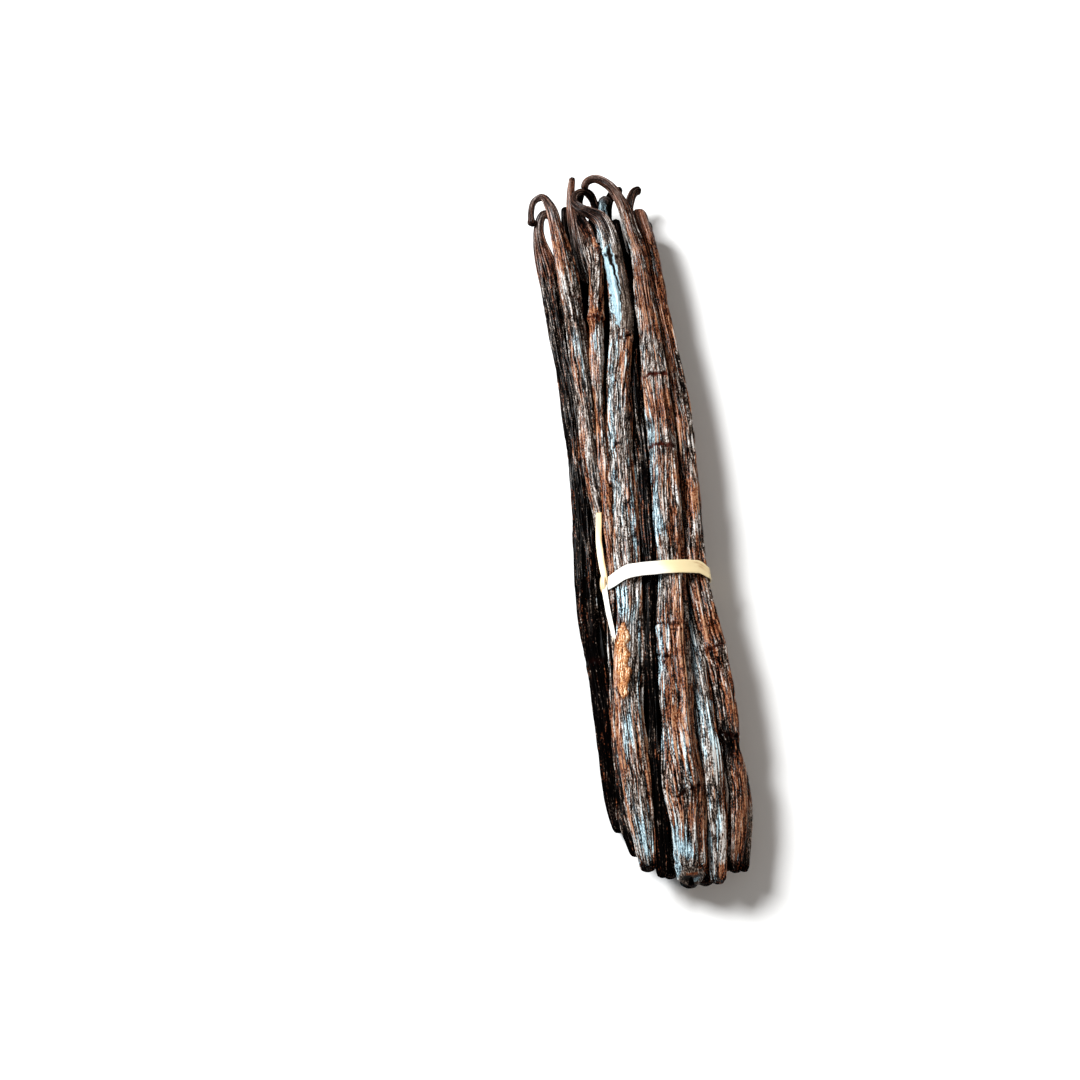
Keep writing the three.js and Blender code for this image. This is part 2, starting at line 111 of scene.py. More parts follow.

# Each pod as in the solid part, and what its skin shows. Lengths are in millimetres, and a
# direction round the pod is in degrees: 0 to the right, 90 up and 180 to the left.
#   seed: the start of its random draws. grid: its own grid steps. low: it lies underneath.
#   x, z, lift: its middle at STATIONS, its height at HEIGHT_AT and what the tie adds to that.
#   w, flat: its width at WIDTH_AT, and its height over its width.
#   foot, hook: the middle of its blossom end, and the middle line of its stem end.
#   rust, bloom: how red-brown and how grey-blue it is on its left, on top and on its right; the
#   grey-blue is a waxy film with a painted sky sheen.
#   dark, pale, stem_dark: how much darkness it has at DARK_AT, which on the pods lying low or
#   sunk between others is painted shade; how pale its ridges are, in places a painted highlight;
#   how much darkness its stem has.
#   foot_width, stem_width, stem, stem_end, stem_reach, scar, bevel: as FOOT_WIDTH to BEVEL.
#   ball: how much wider its stem's tip is. blunt: the y at which its body steps down to the stem.
#   nodes: creases across it, each y, depth, redness, direction, reach to either side in degrees,
#     and how much further along it runs for each radian.
#   pinches: y, reach, and how much narrower it is there as a share; below 0 it is wider.
#   slits: y, direction, length, reach in degrees and depth of a cut along it.
#   zones: single patches, each the mark, y, direction, length, reach in degrees and amount.
PODS = [
    # The outer left pod lies low beside the bundle: its darkness is painted shade, eased in a few
    # patches that are painted lighter.
    dict(name="outer_left", seed=11, rust=(0.40, 0.30, 0.40), bloom=(0, 0, 0),
         dark=(1.0, 0.86, 0.35), pale=0.0, stem_dark=0.3, grid=(0.2, 0.5),
         x=(-11.7, -11.6, -12.3, -10.7, -10.4, -11.3, -12.8), z=(3.2, 4.6, 7.4), lift=0.4,
         w=(4.6, 6.2, 5.7, 5.5, 4.9), flat=0.9, foot=(-11.5, -73.4, 4.2), stem=1.5,
         nodes=((-35.8, 0.22, 0.1, 90, 60, 0.5),),
         zones=(("rust", 68, 90, 9, 120, 0.4), ("dark", 70, 90, 9, 120, -0.25),
                ("dark", 13, 105, 7, 45, -0.4), ("dark", -6, 60, 18, 30, -0.22)),
         hook=((-14.0, 71, 9), (-13.7, 75, 10), (-12.3, 77.6, 10.9), (-10.8, 77.5, 10.7),
               (-9.8, 75.7, 9.8))),
    dict(name="left_top", seed=12, rust=(0.50, 0.26, 0.45), bloom=(0.12, 0.22, 0.05),
         dark=(0, 0, 0.05), pale=0.5, stem_dark=0.15,
         x=(-9.6, -9.2, -6.4, -7.7, -8.1, -8.3, -8.9), z=(6.4, 11.6, 12.9), lift=-0.7,
         w=(4.2, 3.6, 3.3, 4.2, 4.4), flat=1.05, foot=(-8.6, -79.4, 6.6), stem_end=1.3,
         nodes=((23.3, 0.4, 0.1, 30, 50, 0.4), (52.0, 0.25, 0.2, 60, 60, 0.6)), ball=0.5,
         pinches=((22.0, 3.0, 0.12),), slits=((26.0, 20, 5.0, 9, 0.6),),
         zones=(("smooth", 36, 85, 5, 38, 0.7), ("smooth", 14, 80, 8, 40, 0.75),
                ("pale", 46, 100, 8, 40, 0.5), ("rust", 67, 80, 9, 120, 0.5),
                ("dark", -76, 180, 20, 120, 0.95), ("dark", 14, 90, 14, 70, 0.13),
                ("bloom", 36, 88, 5, 32, 0.27)),
         hook=((-9.8, 72.2, 13.8), (-10.7, 77.4, 14.2), (-12.3, 80.7, 13.8),
               (-14.3, 80.2, 13.0), (-15.3, 77.7, 12.0), (-15.3, 74.4, 11.0))),
    dict(name="slim_left", seed=13, rust=(0.95, 0.42, 0.85), bloom=(0, 0.10, 0),
         dark=(0, 0, 0.1), pale=1.3, stem_dark=0.8, stem=1.0, stem_end=2.7, stem_reach=29,
         blunt=65.6,
         pinches=((46.6, 1.3, -0.16), (44.4, 1.2, 0.08), (4.0, 3.0, 0.10), (40.0, 3.0, 0.06)),
         x=(-6.2, -8.0, -6.7, -5.7, -4.6, -2.9, -1.3), z=(6.6, 12.5, 12.0), lift=0.8,
         w=(4.0, 2.9, 2.4, 2.6, 3.3), flat=1.2, foot=(-5.6, -82.2, 6.6),
         nodes=((46.1, 0.6, 0.5, 100, 130, 0.5), (3.5, 0.5, 0.1, 20, 50, 0.0)),
         zones=(("rust", 58, 90, 7, 120, -0.2), ("rust", -3, 110, 16, 80, 0.55),
                ("rust", 46.3, 110, 1.5, 90, 0.9), ("bloom", 40, 110, 5, 40, 0.5)),
         hook=((-1.6, 70, 11.2), (-3.2, 76, 10.0), (-3.2, 81.2, 10.4), (-1.6, 83.5, 10.6),
               (0.2, 82.4, 10.4), (1.1, 79.6, 9.4), (1.6, 76.6, 8.4))),
    dict(name="top_left", seed=14, rust=(0.38, 0.27, 0.56), bloom=(0.38, 0.26, 0.08),
         dark=(0, 0, 0), pale=0.8, stem_dark=0.35, stem=4.4, stem_width=1.9, stem_end=1.4,
         stem_reach=21, foot_width=0.5,
         x=(-7.3, -7.0, -3.2, -1.8, 0.4, 3.3, 3.1), z=(10.7, 12.2, 12.8), lift=0.4,
         w=(6.2, 6.3, 4.9, 5.8, 4.2), flat=0.84, foot=(-7.3, -83.2, 9.8),
         nodes=((65.4, 0.6, 0.1, 110, 75, 1.0), (40.6, 0.6, 0.1, 50, 55, -1.0),
                (12.0, 0.7, 0.1, 140, 50, -1.5), (-2.0, 0.3, 0.1, 60, 40, 0.8)),
         slits=((-43.0, 40, 17.0, 6, 0.55), (56.0, 60, 8.0, 4, 0.3), (-66, 100, 9, 4, 0.4)),
         pinches=((11.0, 3.5, 0.10), (-50.0, 5.0, 0.05)),
         zones=(("bloom", -26.0, 112, 4.5, 34, 0.55), ("pale", 61, 78, 4, 16, 0.9),
                ("bloom", -42, 48, 13, 12, 0.7), ("bloom", -78, 80, 3, 35, 0.6),
                ("bloom", 22, 145, 14, 18, 0.6), ("bloom", -8, 55, 8, 24, 0.5),
                ("rust", -58, 170, 26, 20, 0.6), ("rust", 30, 45, 9, 45, 0.35),
                ("rust", 0, 12, 24, 24, 0.4), ("dark", -82, 80, 2.2, 120, 0.45),
                ("bloom", 70, 178, 5, 34, 0.5), ("dark", 69, 178, 4, 40, 0.15),
                ("rust", 68, 90, 4, 120, -0.5), ("rust", -40, 158, 7, 24, 0.45),
                ("bloom", -40, 158, 7, 26, -0.7), ("bloom", -50, 120, 12, 30, 0.15)),
         hook=((2.5, 69.5, 13.2), (1.2, 73.2, 13.4), (-0.9, 75.2, 13.4), (-3.1, 76.9, 13.2),
               (-4.5, 79.1, 12.8), (-4.0, 81.3, 12.6), (-2.4, 82.3, 12.4), (-1.2, 82.0, 12.0))),
    # The recessed pod lies sunk between its neighbours: its darkness is painted shade.
    dict(name="recessed", seed=15, rust=(0.35, 0.35, 0.45), bloom=(0, 0, 0),
         dark=(0.92, 0.62, 0.80), pale=0.0, stem_dark=0.9,
         x=(-3.6, -2.2, 1.2, 3.0, 4.2, 5.6, 5.6), z=(10.2, 10.0, 8.6), lift=1.8,
         w=(3.7, 3.7, 3.6, 4.0, 3.4), flat=1.08, foot=(-4.4, -84.6, 9.2),
         hook=((5.5, 71, 8.0), (5.7, 76.5, 7.2))),
    dict(name="broad_top", seed=16, rust=(0.30, 0.50, 0.66), bloom=(0.38, 0.16, 0.02),
         dark=(0, 0, 0.08), pale=0.6, stem_dark=0.12, foot_width=0.86, bevel=0.7, scar=1.0,
         stem_width=2.9, stem_end=1.7, pinches=((54.4, 1.6, -0.06),),
         x=(2.1, 2.8, 5.7, 7.7, 9.0, 9.2, 9.4), z=(11.4, 12.4, 13.0), lift=0.1,
         w=(7.7, 6.9, 6.4, 4.9, 3.6), flat=0.86, foot=(1.3, -85.8, 10.3),
         nodes=((29.2, 0.75, 1.0, 95, 62, -0.4), (11.2, 0.75, 1.0, 95, 68, 0.2),
                (-31.5, 0.45, 0.3, 110, 45, 0.3), (-38.4, 0.5, 0.1, 140, 40, 0.9),
                (-68.0, 0.45, 0.1, 80, 60, -1.6)),
         slits=((50.0, 72, 4.0, 5, 0.8), (43.5, 48, 1.3, 8, 0.6), (-27.0, 35, 8.0, 5, 0.5),
                (-50.0, 52, 5.0, 4, 0.4), (20.0, 128, 6.0, 5, 0.35), (-10.0, 62, 9.0, 4, 0.35)),
         zones=(("bloom", -79, 118, 3.8, 38, 1.0), ("rust", -81, 100, 5, 60, -0.5),
                ("smooth", -79, 118, 3.4, 34, 0.35), ("pale", -82, 90, 4, 90, -0.5),
                ("bloom", -85, 165, 3, 25, 0.8), ("pale", 60, 130, 8, 32, 0.9),
                ("bloom", 14, 150, 8, 25, 0.4), ("bloom", 0, 135, 8, 22, 0.6),
                ("bloom", -12, 140, 7, 20, 0.5), ("bloom", -34, 140, 14, 30, 0.35),
                ("rust", 52, 70, 14, 90, 0.3), ("rust", 20, 70, 8, 50, 0.25),
                ("rust", -47, 80, 9, 60, 0.6), ("bloom", -60, 85, 9, 22, 0.4)),
         hook=((8.2, 69, 13.8), (7.7, 74, 13.6), (6.6, 79, 13.0), (4.6, 83.6, 12.2),
               (1.6, 86.2, 11.6), (-0.6, 85.8, 10.9), (-1.3, 84.0, 10.3))),
    dict(name="right_top", seed=17, rust=(0.42, 0.52, 0.60), bloom=(0.02, 0.06, 0),
         dark=(0.12, 0.1, 0.15), pale=0.5, stem_dark=0, stem=8, stem_width=3.4, stem_reach=10,
         x=(13.3, 14.0, 11.9, 13.3, 13.9, 13.0, 12.5), z=(9.6, 10.0, 9.6), lift=0.3,
         w=(3.9, 5.1, 4.2, 4.2, 4.5), flat=0.92, foot=(10.8, -85.2, 9.2),
         nodes=((-37.2, 0.6, 0.3, 110, 80, -0.5), (-56.4, 0.9, 0.1, 110, 90, 0.8),
                (-61.1, 0.4, 0.1, 120, 60, -1.0)),
         pinches=((-58.6, 2.8, 0.30), (-53.5, 2.0, -0.08), (-37.5, 1.6, -0.08)),
         slits=((34.0, 60, 12.0, 6, 0.4),),
         zones=(("rust", 50, 90, 12, 90, 0.35), ("rust", -30, 90, 8, 80, 0.4),
                ("rust", -74, 70, 10, 70, 0.4), ("dark", -59, 110, 2.6, 80, 0.85),
                ("rust", 0, 100, 15, 90, 0.3), ("rust", 72, 100, 8, 120, 0.5),
                ("smooth", 74, 90, 5, 90, 0.5), ("dark", -84, 90, 2, 90, 0.5),
                ("bloom", -83, 80, 1.5, 25, 0.9)),
         hook=((11.8, 70, 9.7), (11.3, 74.2, 9.6), (11.3, 77.4, 9.2))),
    dict(name="right_wedge", seed=18, rust=(0.15, 0.12, 0.85), bloom=(0.50, 0.46, 0.0),
         dark=(0, 0, 0.1), pale=0.9, stem_dark=0.4, foot_width=0.6,
         x=(8.6, 9.2, 9.2, 10.2, 11.0, 10.8, 10.2), z=(11.0, 7.4, 6.6), lift=-0.9,
         w=(4.5, 4.0, 4.0, 4.0, 3.2), flat=0.95, foot=(6.9, -87.2, 9.4),
         zones=(("rust", -85, 70, 2, 70, 0.5), ("pale", -76, 100, 6, 50, 0.5)),
         hook=((9.4, 72, 6.8), (9.4, 78.4, 7.2), (10.2, 81.6, 7.8), (11.4, 83.7, 8.0),
               (13.2, 84.4, 8.0))),
    dict(name="right_flank", seed=19, rust=(0.5, 0.55, 0.6), bloom=(0.1, 0.1, 0.1),
         dark=(0.3, 0.5, 0.6), pale=0.4, stem_dark=0.9,
         x=(15.0, 13.8, 11.9, 13.0, 13.4, 13.2, 12.9), z=(5.4, 5.0, 5.4), lift=1.4,
         w=(3.3, 3.9, 4.2, 4.2, 3.2), flat=1.05, foot=(13.2, -84.8, 5.8),
         nodes=((-45, 0.4, 0.1, 40, 60, 0.2),),
         hook=((13.0, 71, 5.8), (13.8, 76.0, 6.2))),
    dict(name="middle_left", seed=20, low=True, rust=(0.4, 0.4, 0.4), bloom=(0.1, 0.1, 0.1),
         dark=(0.2, 0.2, 0.2), pale=0.3, stem_dark=0.0, stem_end=1.0,
         x=(-2.2, -2.9, -1.9, -1.1, -1.4, -1.2, -3.2), z=(6.2, 7.4, 8.0), lift=1.2,
         w=(5.0, 5.0, 5.2, 5.2, 3.8), flat=0.84, foot=(-2.6, -84.7, 6.2),
         zones=(("rust", 82, 90, 8, 180, 0.3),),
         hook=((-4.4, 71, 8.8), (-4.9, 78.6, 9.8), (-4.7, 83.4, 10.6), (-3.9, 87.6, 11.0))),
    dict(name="middle_right", seed=21, low=True, rust=(0.2, 0.2, 0.3), bloom=(0.5, 0.5, 0.4),
         dark=(0.2, 0.2, 0.2), pale=0.6, stem_dark=0.15, stem_reach=4,
         x=(3.6, 3.0, 3.6, 4.2, 4.8, 5.2, 3.8), z=(6.3, 6.6, 7.4), lift=1.1,
         w=(5.4, 5.0, 5.2, 5.0, 3.8), flat=0.84, foot=(1.1, -87.0, 6.2),
         zones=(("bloom", 80, 120, 5, 120, 0.9),),
         hook=((2.9, 71, 8.4), (2.5, 78.4, 9.2), (3.4, 81.3, 9.4), (4.9, 80.2, 9.0))),
    dict(BOTTOM, name="bottom_left", seed=22, stem_dark=0.5, w=(5.6, 5.0, 5.6, 5.8, 4.2),
         x=(-6.6, -6.9, -4.1, -5.5, -6.5, -6.9, -6.6), z=(2.2, 3.4, 4.6), lift=1.5,
         foot=(-7.0, -79.8, 3.0), nodes=((20, 0.5, 0.3, 200, 90, 0.3),),
         hook=((-6.7, 71, 6.2), (-6.7, 77, 7.6), (-6.5, 81.0, 8.2))),
    dict(BOTTOM, name="bottom_middle_left", seed=23, stem_dark=0.6,
         x=(-1.3, -1.2, 0.7, -0.1, -1.4, -1.8, -1.4), z=(2.1, 2.1, 2.8), lift=1.6,
         foot=(-1.9, -82.6, 2.6), nodes=((-40, 0.5, 0.3, 270, 90, 0.3),),
         hook=((-0.8, 71, 4.0), (-0.1, 76.5, 5.4), (1.0, 79.2, 6.4))),
    dict(BOTTOM, name="bottom_middle_right", seed=24, dark=(0.1, 0.1, 0.2), stem_dark=1.0,
         x=(4.2, 4.6, 5.8, 5.1, 4.0, 3.8, 4.0), z=(2.1, 2.1, 3.2), lift=1.6,
         foot=(5.1, -86.6, 4.4), nodes=((30, 0.5, 0.3, 270, 90, -0.3),),
         hook=((3.4, 71, 4.8), (3.6, 78, 6.8), (4.9, 82.4, 7.8), (6.4, 84.2, 8.0),
               (8.5, 84.7, 8.0))),
    dict(BOTTOM, name="bottom_right", seed=25, dark=(0.1, 0.1, 0.3), stem_dark=0.8,
         x=(9.7, 10.2, 9.9, 10.4, 9.6, 9.6, 11.6), z=(2.3, 2.2, 3.4), lift=1.9,
         w=(5.6, 4.8, 5.4, 5.4, 4.0), foot=(9.6, -84.0, 3.6),
         nodes=((-10, 0.5, 0.3, 320, 90, 0.3),), hook=((13.6, 68.4, 4.4), (14.4, 71.6, 5.0))),
]

# The core that fills the bundle where no pod shows: y, middle x and z, width and height.
CORE = (
    (-77, 2.0, 6.6, 12, 5), (-71, 2.0, 6.4, 19, 8), (-51, 2.0, 6.4, 20, 8.4),
    (TIE_Y, 2.6, 8.0, 16, 8.4), (4, 3.0, 7.2, 18, 8), (27, 3.0, 6.8, 19, 8),
    (47, 2.6, 6.8, 19, 8), (62, 2.6, 7.0, 15, 6), (70, 2.6, 7.0, 6, 3),
)


# ---------------------------------------------------------------- numbers over a grid

def ease(low, high, value):
    """0 up to low, 1 from high on, and 3t^2 - 2t^3 between them."""
    t = np.clip((value - low) / (high - low), 0, 1)
    return t * t * (3 - 2 * t)


def bump(place, middle, reach):
    """A bell of height 1 at middle: exp(-((place - middle) / reach)^2)."""
    return np.exp(-(((place - middle) / reach) ** 2))


def unit(vectors):
    """The vectors over their own lengths."""
    return vectors / np.linalg.norm(vectors, axis=-1, keepdims=True)


NOISE_GAIN = 1.6


def wander(rng, around, along, cells, length):
    """Gradient noise of about -1 to 1 that closes on itself round the pod.

    around is a share of a turn and along is in millimetres. The lattice has `cells` cells in a
    turn and one cell every `length` millimetres; each corner has a random slope, and the four
    slopes of a cell are blended by 6t^5 - 15t^4 + 10t^3.
    """
    u = around * cells
    v = (along - along.min()) / length
    column = np.floor(u).astype(int)
    row = np.floor(v).astype(int)
    slope = rng.uniform(0, TURN, (cells, row.max() + 2))
    u = u - column
    v = v - row
    smooth = [t * t * t * (t * (6 * t - 15) + 10) for t in (u, v)]

    def corner(a, b):
        angle = slope[(column + a) % cells, row + b]
        return np.cos(angle) * (u - a) + np.sin(angle) * (v - b)

    near = corner(0, 0) * (1 - smooth[0]) + corner(1, 0) * smooth[0]
    far = corner(0, 1) * (1 - smooth[0]) + corner(1, 1) * smooth[0]
    return NOISE_GAIN * (near * (1 - smooth[1]) + far * smooth[1])


def line_through(points, steps=24):
    """A smooth line through points, `steps` places to a stretch: a centripetal Catmull-Rom line.

    Between two points it is the Hermite cubic whose end slopes come from the points on either
    side, each distance counted by its square root.
    """
    p = np.asarray(points, float)
    p = np.vstack([2 * p[0] - p[1], p, 2 * p[-1] - p[-2]])
    gap = np.sqrt(np.linalg.norm(np.diff(p, axis=0), axis=1))[:, None]
    chord = np.diff(p, axis=0) / gap
    leap = (p[2:] - p[:-2]) / (gap[:-1] + gap[1:])
    slope = chord[:-1] - leap + chord[1:]
    t = (np.arange(steps) / steps)[None, :, None]
    a, b = p[1:-2, None], p[2:-1, None]
    from_a, to_b = (slope[:-1] * gap[1:-1])[:, None], (slope[1:] * gap[1:-1])[:, None]
    curve = a * (2 * t**3 - 3 * t**2 + 1) + b * (3 * t**2 - 2 * t**3)
    curve = curve + from_a * (t**3 - 2 * t**2 + t) + to_b * (t**3 - t**2)
    return np.vstack([curve.reshape(-1, 3), p[-2]])


def soften(values, reach, mode="edge"):
    """A running average over 2 * reach + 1 places, weighted by a raised cosine."""
    kernel = np.hanning(2 * reach + 3)[1:-1]
    return np.convolve(np.pad(values, reach, mode=mode), kernel / kernel.sum(), "valid")


def at_stations(places, values, at, count=400, reach=20):
    """Values between stations, along straight lines that are then rounded at the corners."""
    even = np.linspace(min(at), max(at), count)
    return np.interp(at, even, soften(np.interp(even, places, values), reach))


def over_turn(theta, left, top, right):
    """A value for a pod's left, top and right side, blended round it by the squares of the
    sine and the cosine. The underside has the mean of left and right."""
    above = np.where(np.sin(theta) > 0, top, (left + right) / 2)
    beside = np.where(np.cos(theta) > 0, right, left)
    return beside * np.cos(theta) ** 2 + above * np.sin(theta) ** 2


def turned_from(theta, aim):
    """How far round the pod each place is from a direction given in degrees, in radians."""
    return (theta - np.radians(aim) + np.pi) % TURN - np.pi


# ---------------------------------------------------------------- meshes

def new_piece(name, points, faces, marks):
    """A smooth-shaded object from points in millimetres.

    faces is a list of arrays of corner numbers, and marks the numbers or vectors that every
    point carries for its material.
    """
    mesh = bpy.data.meshes.new(name)
    mesh.vertices.add(len(points))
    mesh.vertices.foreach_set("co", (points * MM).astype(np.float32).ravel())
    loops = np.concatenate([face.ravel() for face in faces])
    sizes = np.concatenate([np.full(len(face), face.shape[1]) for face in faces])
    mesh.loops.add(len(loops))
    mesh.loops.foreach_set("vertex_index", loops.astype(np.int32))
    mesh.polygons.add(len(sizes))
    mesh.polygons.foreach_set("loop_start", (np.cumsum(sizes) - sizes).astype(np.int32))
    for mark, values in marks.items():
        kind, field = ("FLOAT_VECTOR", "vector") if values.ndim == 2 else ("FLOAT", "value")
        layer = mesh.attributes.new(mark, kind, "POINT")
        layer.data.foreach_set(field, values.astype(np.float32).ravel())
    mesh.update(calc_edges=True)
    mesh.validate()
    mesh.shade_smooth()
    piece = bpy.data.objects.new(name, mesh)
    bpy.context.scene.collection.objects.link(piece)
    return piece


def tube_faces(rings, sides, looped=False):
    """Corner numbers of the skin through rings of points: squares between neighbouring rings,
    and at each end triangles round one last point, unless the tube closes on itself."""
    i = np.arange(rings if looped else rings - 1)[:, None]
    j = np.arange(sides)[None, :]
    after = (i + 1) % rings
    beside = (j + 1) % sides
    squares = np.stack([i * sides + j, after * sides + j, after * sides + beside,
                        i * sides + beside], -1).reshape(-1, 4)
    if looped:
        return [squares]
    j, beside = j[0], beside[0]
    foot = np.full(sides, rings * sides)
    last = (rings - 1) * sides
    start = np.stack([foot, j, beside], -1)
    end = np.stack([foot + 1, last + beside, last + j], -1)
    return [squares, start, end]


def tube_piece(name, surface, marks, looped=False):
    """A tube from a grid of points: one that closes on itself, or one whose two end points are
    the middles of its end rings."""
    rings, sides = surface.shape[:2]
    points = surface.reshape(rings * sides, 3)
    flat = {mark: values.reshape(rings * sides, -1) for mark, values in marks.items()}
    if not looped:
        points = np.vstack([points, surface[[0, -1]].mean(1)])
        for mark, values in marks.items():
            flat[mark] = np.vstack([flat[mark], values[[0, -1]].mean(1).reshape(2, -1)])
    flat = {mark: values.squeeze() for mark, values in flat.items()}
    return new_piece(name, points, tube_faces(rings, sides, looped), flat)


# ---------------------------------------------------------------- pods

def middle_line(pod):
    """The pod's middle line with its distance from the foot, its width and its height.

    The line passes through the foot, the stations and the hook. Over the hook the width falls
    evenly to the stem's, and the section turns round.
    """
    lift = [pod["lift"] * bump(y, TIE_Y, LIFT_REACH) for y in STATIONS]
    points = [pod["foot"]]
    points += [(pod["x"][i], y, np.interp(y, HEIGHT_AT, pod["z"]) + lift[i])
               for i, y in enumerate(STATIONS)]
    points += pod["hook"]
    line = line_through(points)
    run = np.concatenate([[0], np.cumsum(np.linalg.norm(np.diff(line, axis=0), axis=1))])
    widths = [pod["w"][0] * pod.get("foot_width", FOOT_WIDTH)]
    widths += list(np.interp(STATIONS, WIDTH_AT, pod["w"]))
    heights = [width * pod["flat"] for width in widths]
    thin = pod.get("stem", STEM_POINTS)
    stem_end = pod.get("stem_end", min(STEM_END_WIDTH, pod.get("stem_width", STEM_END_WIDTH)))
    for i in range(len(pod["hook"])):
        share = (i + 1) / thin
        width = pod["w"][-1] + (pod.get("stem_width", STEM_WIDTH) - pod["w"][-1]) * share
        width = max(stem_end, width)
        widths.append(width)
        heights.append(width)
    station_runs = run[np.arange(len(points)) * ((len(line) - 1) // (len(points) - 1))]
    width, height = (at_stations(station_runs, values, run) for values in (widths, heights))
    return line, run, width, height


def ring_places(length, width, step, tip_length):
    """Distances from the foot of the rings, and each ring's share of the full width.

    Between the ends the rings are a step apart. Over each end the share grows as the n-th root
    of 1 - (1 - t)^n. The tip's rounding is tip_length times as long as the tip is wide.
    """
    foot_cap = FOOT_CAP * width[0]
    tip_cap = tip_length * width[-1]
    grown = np.linspace(FIRST_RING, 1, CAP_RINGS)
    foot_rise = 1 - (1 - grown**FOOT_POWER) ** (1 / FOOT_POWER)
    tip_rise = 1 - (1 - grown**TIP_POWER) ** (1 / TIP_POWER)
    body = np.linspace(foot_cap, length - tip_cap, int((length - foot_cap - tip_cap) / step))
    places = [foot_rise * foot_cap, body[1:-1], length - tip_rise[::-1] * tip_cap]
    share = [grown, np.ones(len(body) - 2), grown[::-1]]
    return np.concatenate(places), np.concatenate(share)


class PodGrid:
    """Places on one pod, in rings along it and columns round it.

    s is the distance from the foot, theta the turn round the pod from its right over its top,
    around the same as a share of a turn, and y the place along the bundle. share, w and h are
    the rings' share of the full width, their width and their height.
    """

    def __init__(self, pod):
        self.pod = pod
        self.rng = np.random.default_rng(pod["seed"])
        across_step, along_step = pod.get("grid", LOW_GRID if pod.get("low") else TOP_GRID)
        line, run, width, height = middle_line(pod)
        self.length = run[-1]
        tip_length = TIP_CAP + BALL_CAP * pod.get("ball", 0)
        self.places, share = ring_places(self.length, width, along_step, tip_length)
        self.share = share[:, None]
        self.w = np.interp(self.places, run, width)
        self.h = np.interp(self.places, run, height)
        self.middle = np.stack([np.interp(self.places, run, line[:, k]) for k in range(3)], -1)
        forward = np.gradient(self.middle, self.places, axis=0)
        self.forward = unit(np.stack([soften(forward[:, k], 4) for k in range(3)], -1))
        self.side = unit(np.cross(self.forward, UP))
        self.up = np.cross(self.side, self.forward)
        self.girth = np.pi * np.median(self.w)
        sides = int(np.clip(self.girth / across_step, *RING_POINTS))
        even = TURN * (np.arange(sides) + 0.5) / sides
        self.theta, self.s = np.meshgrid(even + CROWDING * np.cos(even), self.places)
        self.around = self.theta / TURN
        self.y = np.repeat(self.middle[:, 1:2], sides, 1)

    def wander(self, cells, length):
        """Noise over the pod from its own draws, with this many cells round it."""
        return wander(self.rng, self.around, self.s, cells, length)

    def wander_round(self, cells):
        """Noise that changes round the pod and not along it."""
        return wander(self.rng, self.around, np.ones_like(self.s), cells, 10.0)

    def distance_at(self, y):
        """The distance from the foot at which the pod's body passes y."""
        body = slice(0, len(self.places) * 5 // 6)
        return np.interp(y, self.middle[body, 1], self.places[body])

    def skin(self, across, above):
        """Points at distances to the side of the middle line and above it."""
        return (self.middle[:, None] + self.side[:, None] * across[..., None]
                + self.up[:, None] * above[..., None])


def node_marks(grid):
    """What the nodes do: the depth of their creases, how red, their lips, and the jump in the
    wrinkles behind each. A crease is a narrow bell along the pod, broken up by slow noise."""
    crease, red, lips, jump = (np.zeros_like(grid.s) for _ in range(4))
    for y, depth, redness, aim, reach, slant in grid.pod.get("nodes", ()):
        off = turned_from(grid.theta, aim)
        spread = 1 - ease(0.75, 1.15, np.abs(off) / np.radians(reach))
        drift = grid.s - grid.distance_at(y) - slant * off * spread
        drift = drift - 0.35 * grid.wander_round(5)
        drift = drift - 0.22 * grid.wander_round(17)
        broken = grid.wander_round(15)
        crease += depth * spread * (0.25 + 0.75 * ease(-0.25, 0.1, broken)) * bump(drift, 0, 0.3)
        red += redness * spread * (0.45 + 0.55 * ease(-0.2, 0.2, -broken)) * bump(drift, 0, 0.5)
        lips += depth * 0.45 * spread * bump(drift, 0, 1.4)
        jump += grid.rng.uniform(-0.5, 0.5) * ease(-0.15, 0.15, drift) * spread
    return crease, red, lips, jump


def ridges(grid, jump):
    """The turn round the pod that the ridges follow, the folds, wrinkles and fibres, and how
    slack the skin is. Each layer is the size of a long narrow noise, so it has round ridges
    with sharp valleys that wander, join and split, and it starts anew behind a node."""
    drifted = grid.around + 0.05 * grid.wander(3, 24.0) + 0.02 * jump
    drifted = drifted + 0.010 * grid.wander(5, 7.0)
    layers = []
    for spacing, long, _ in (FOLD, WRINKLE, FIBRE):
        cells = max(5, round(grid.girth / spacing))
        layers.append(np.abs(wander(grid.rng, drifted + 3 + 0.3 * jump, grid.s, cells, long)))
    fold, wrinkle, fibre = layers
    slack = 0.55 + 0.45 * ease(-0.25, 0.35, grid.wander(4, 16.0))
    return drifted, fold, np.minimum(wrinkle * 2.1, 1.15), np.minimum(fibre * 2.1, 1.15), slack


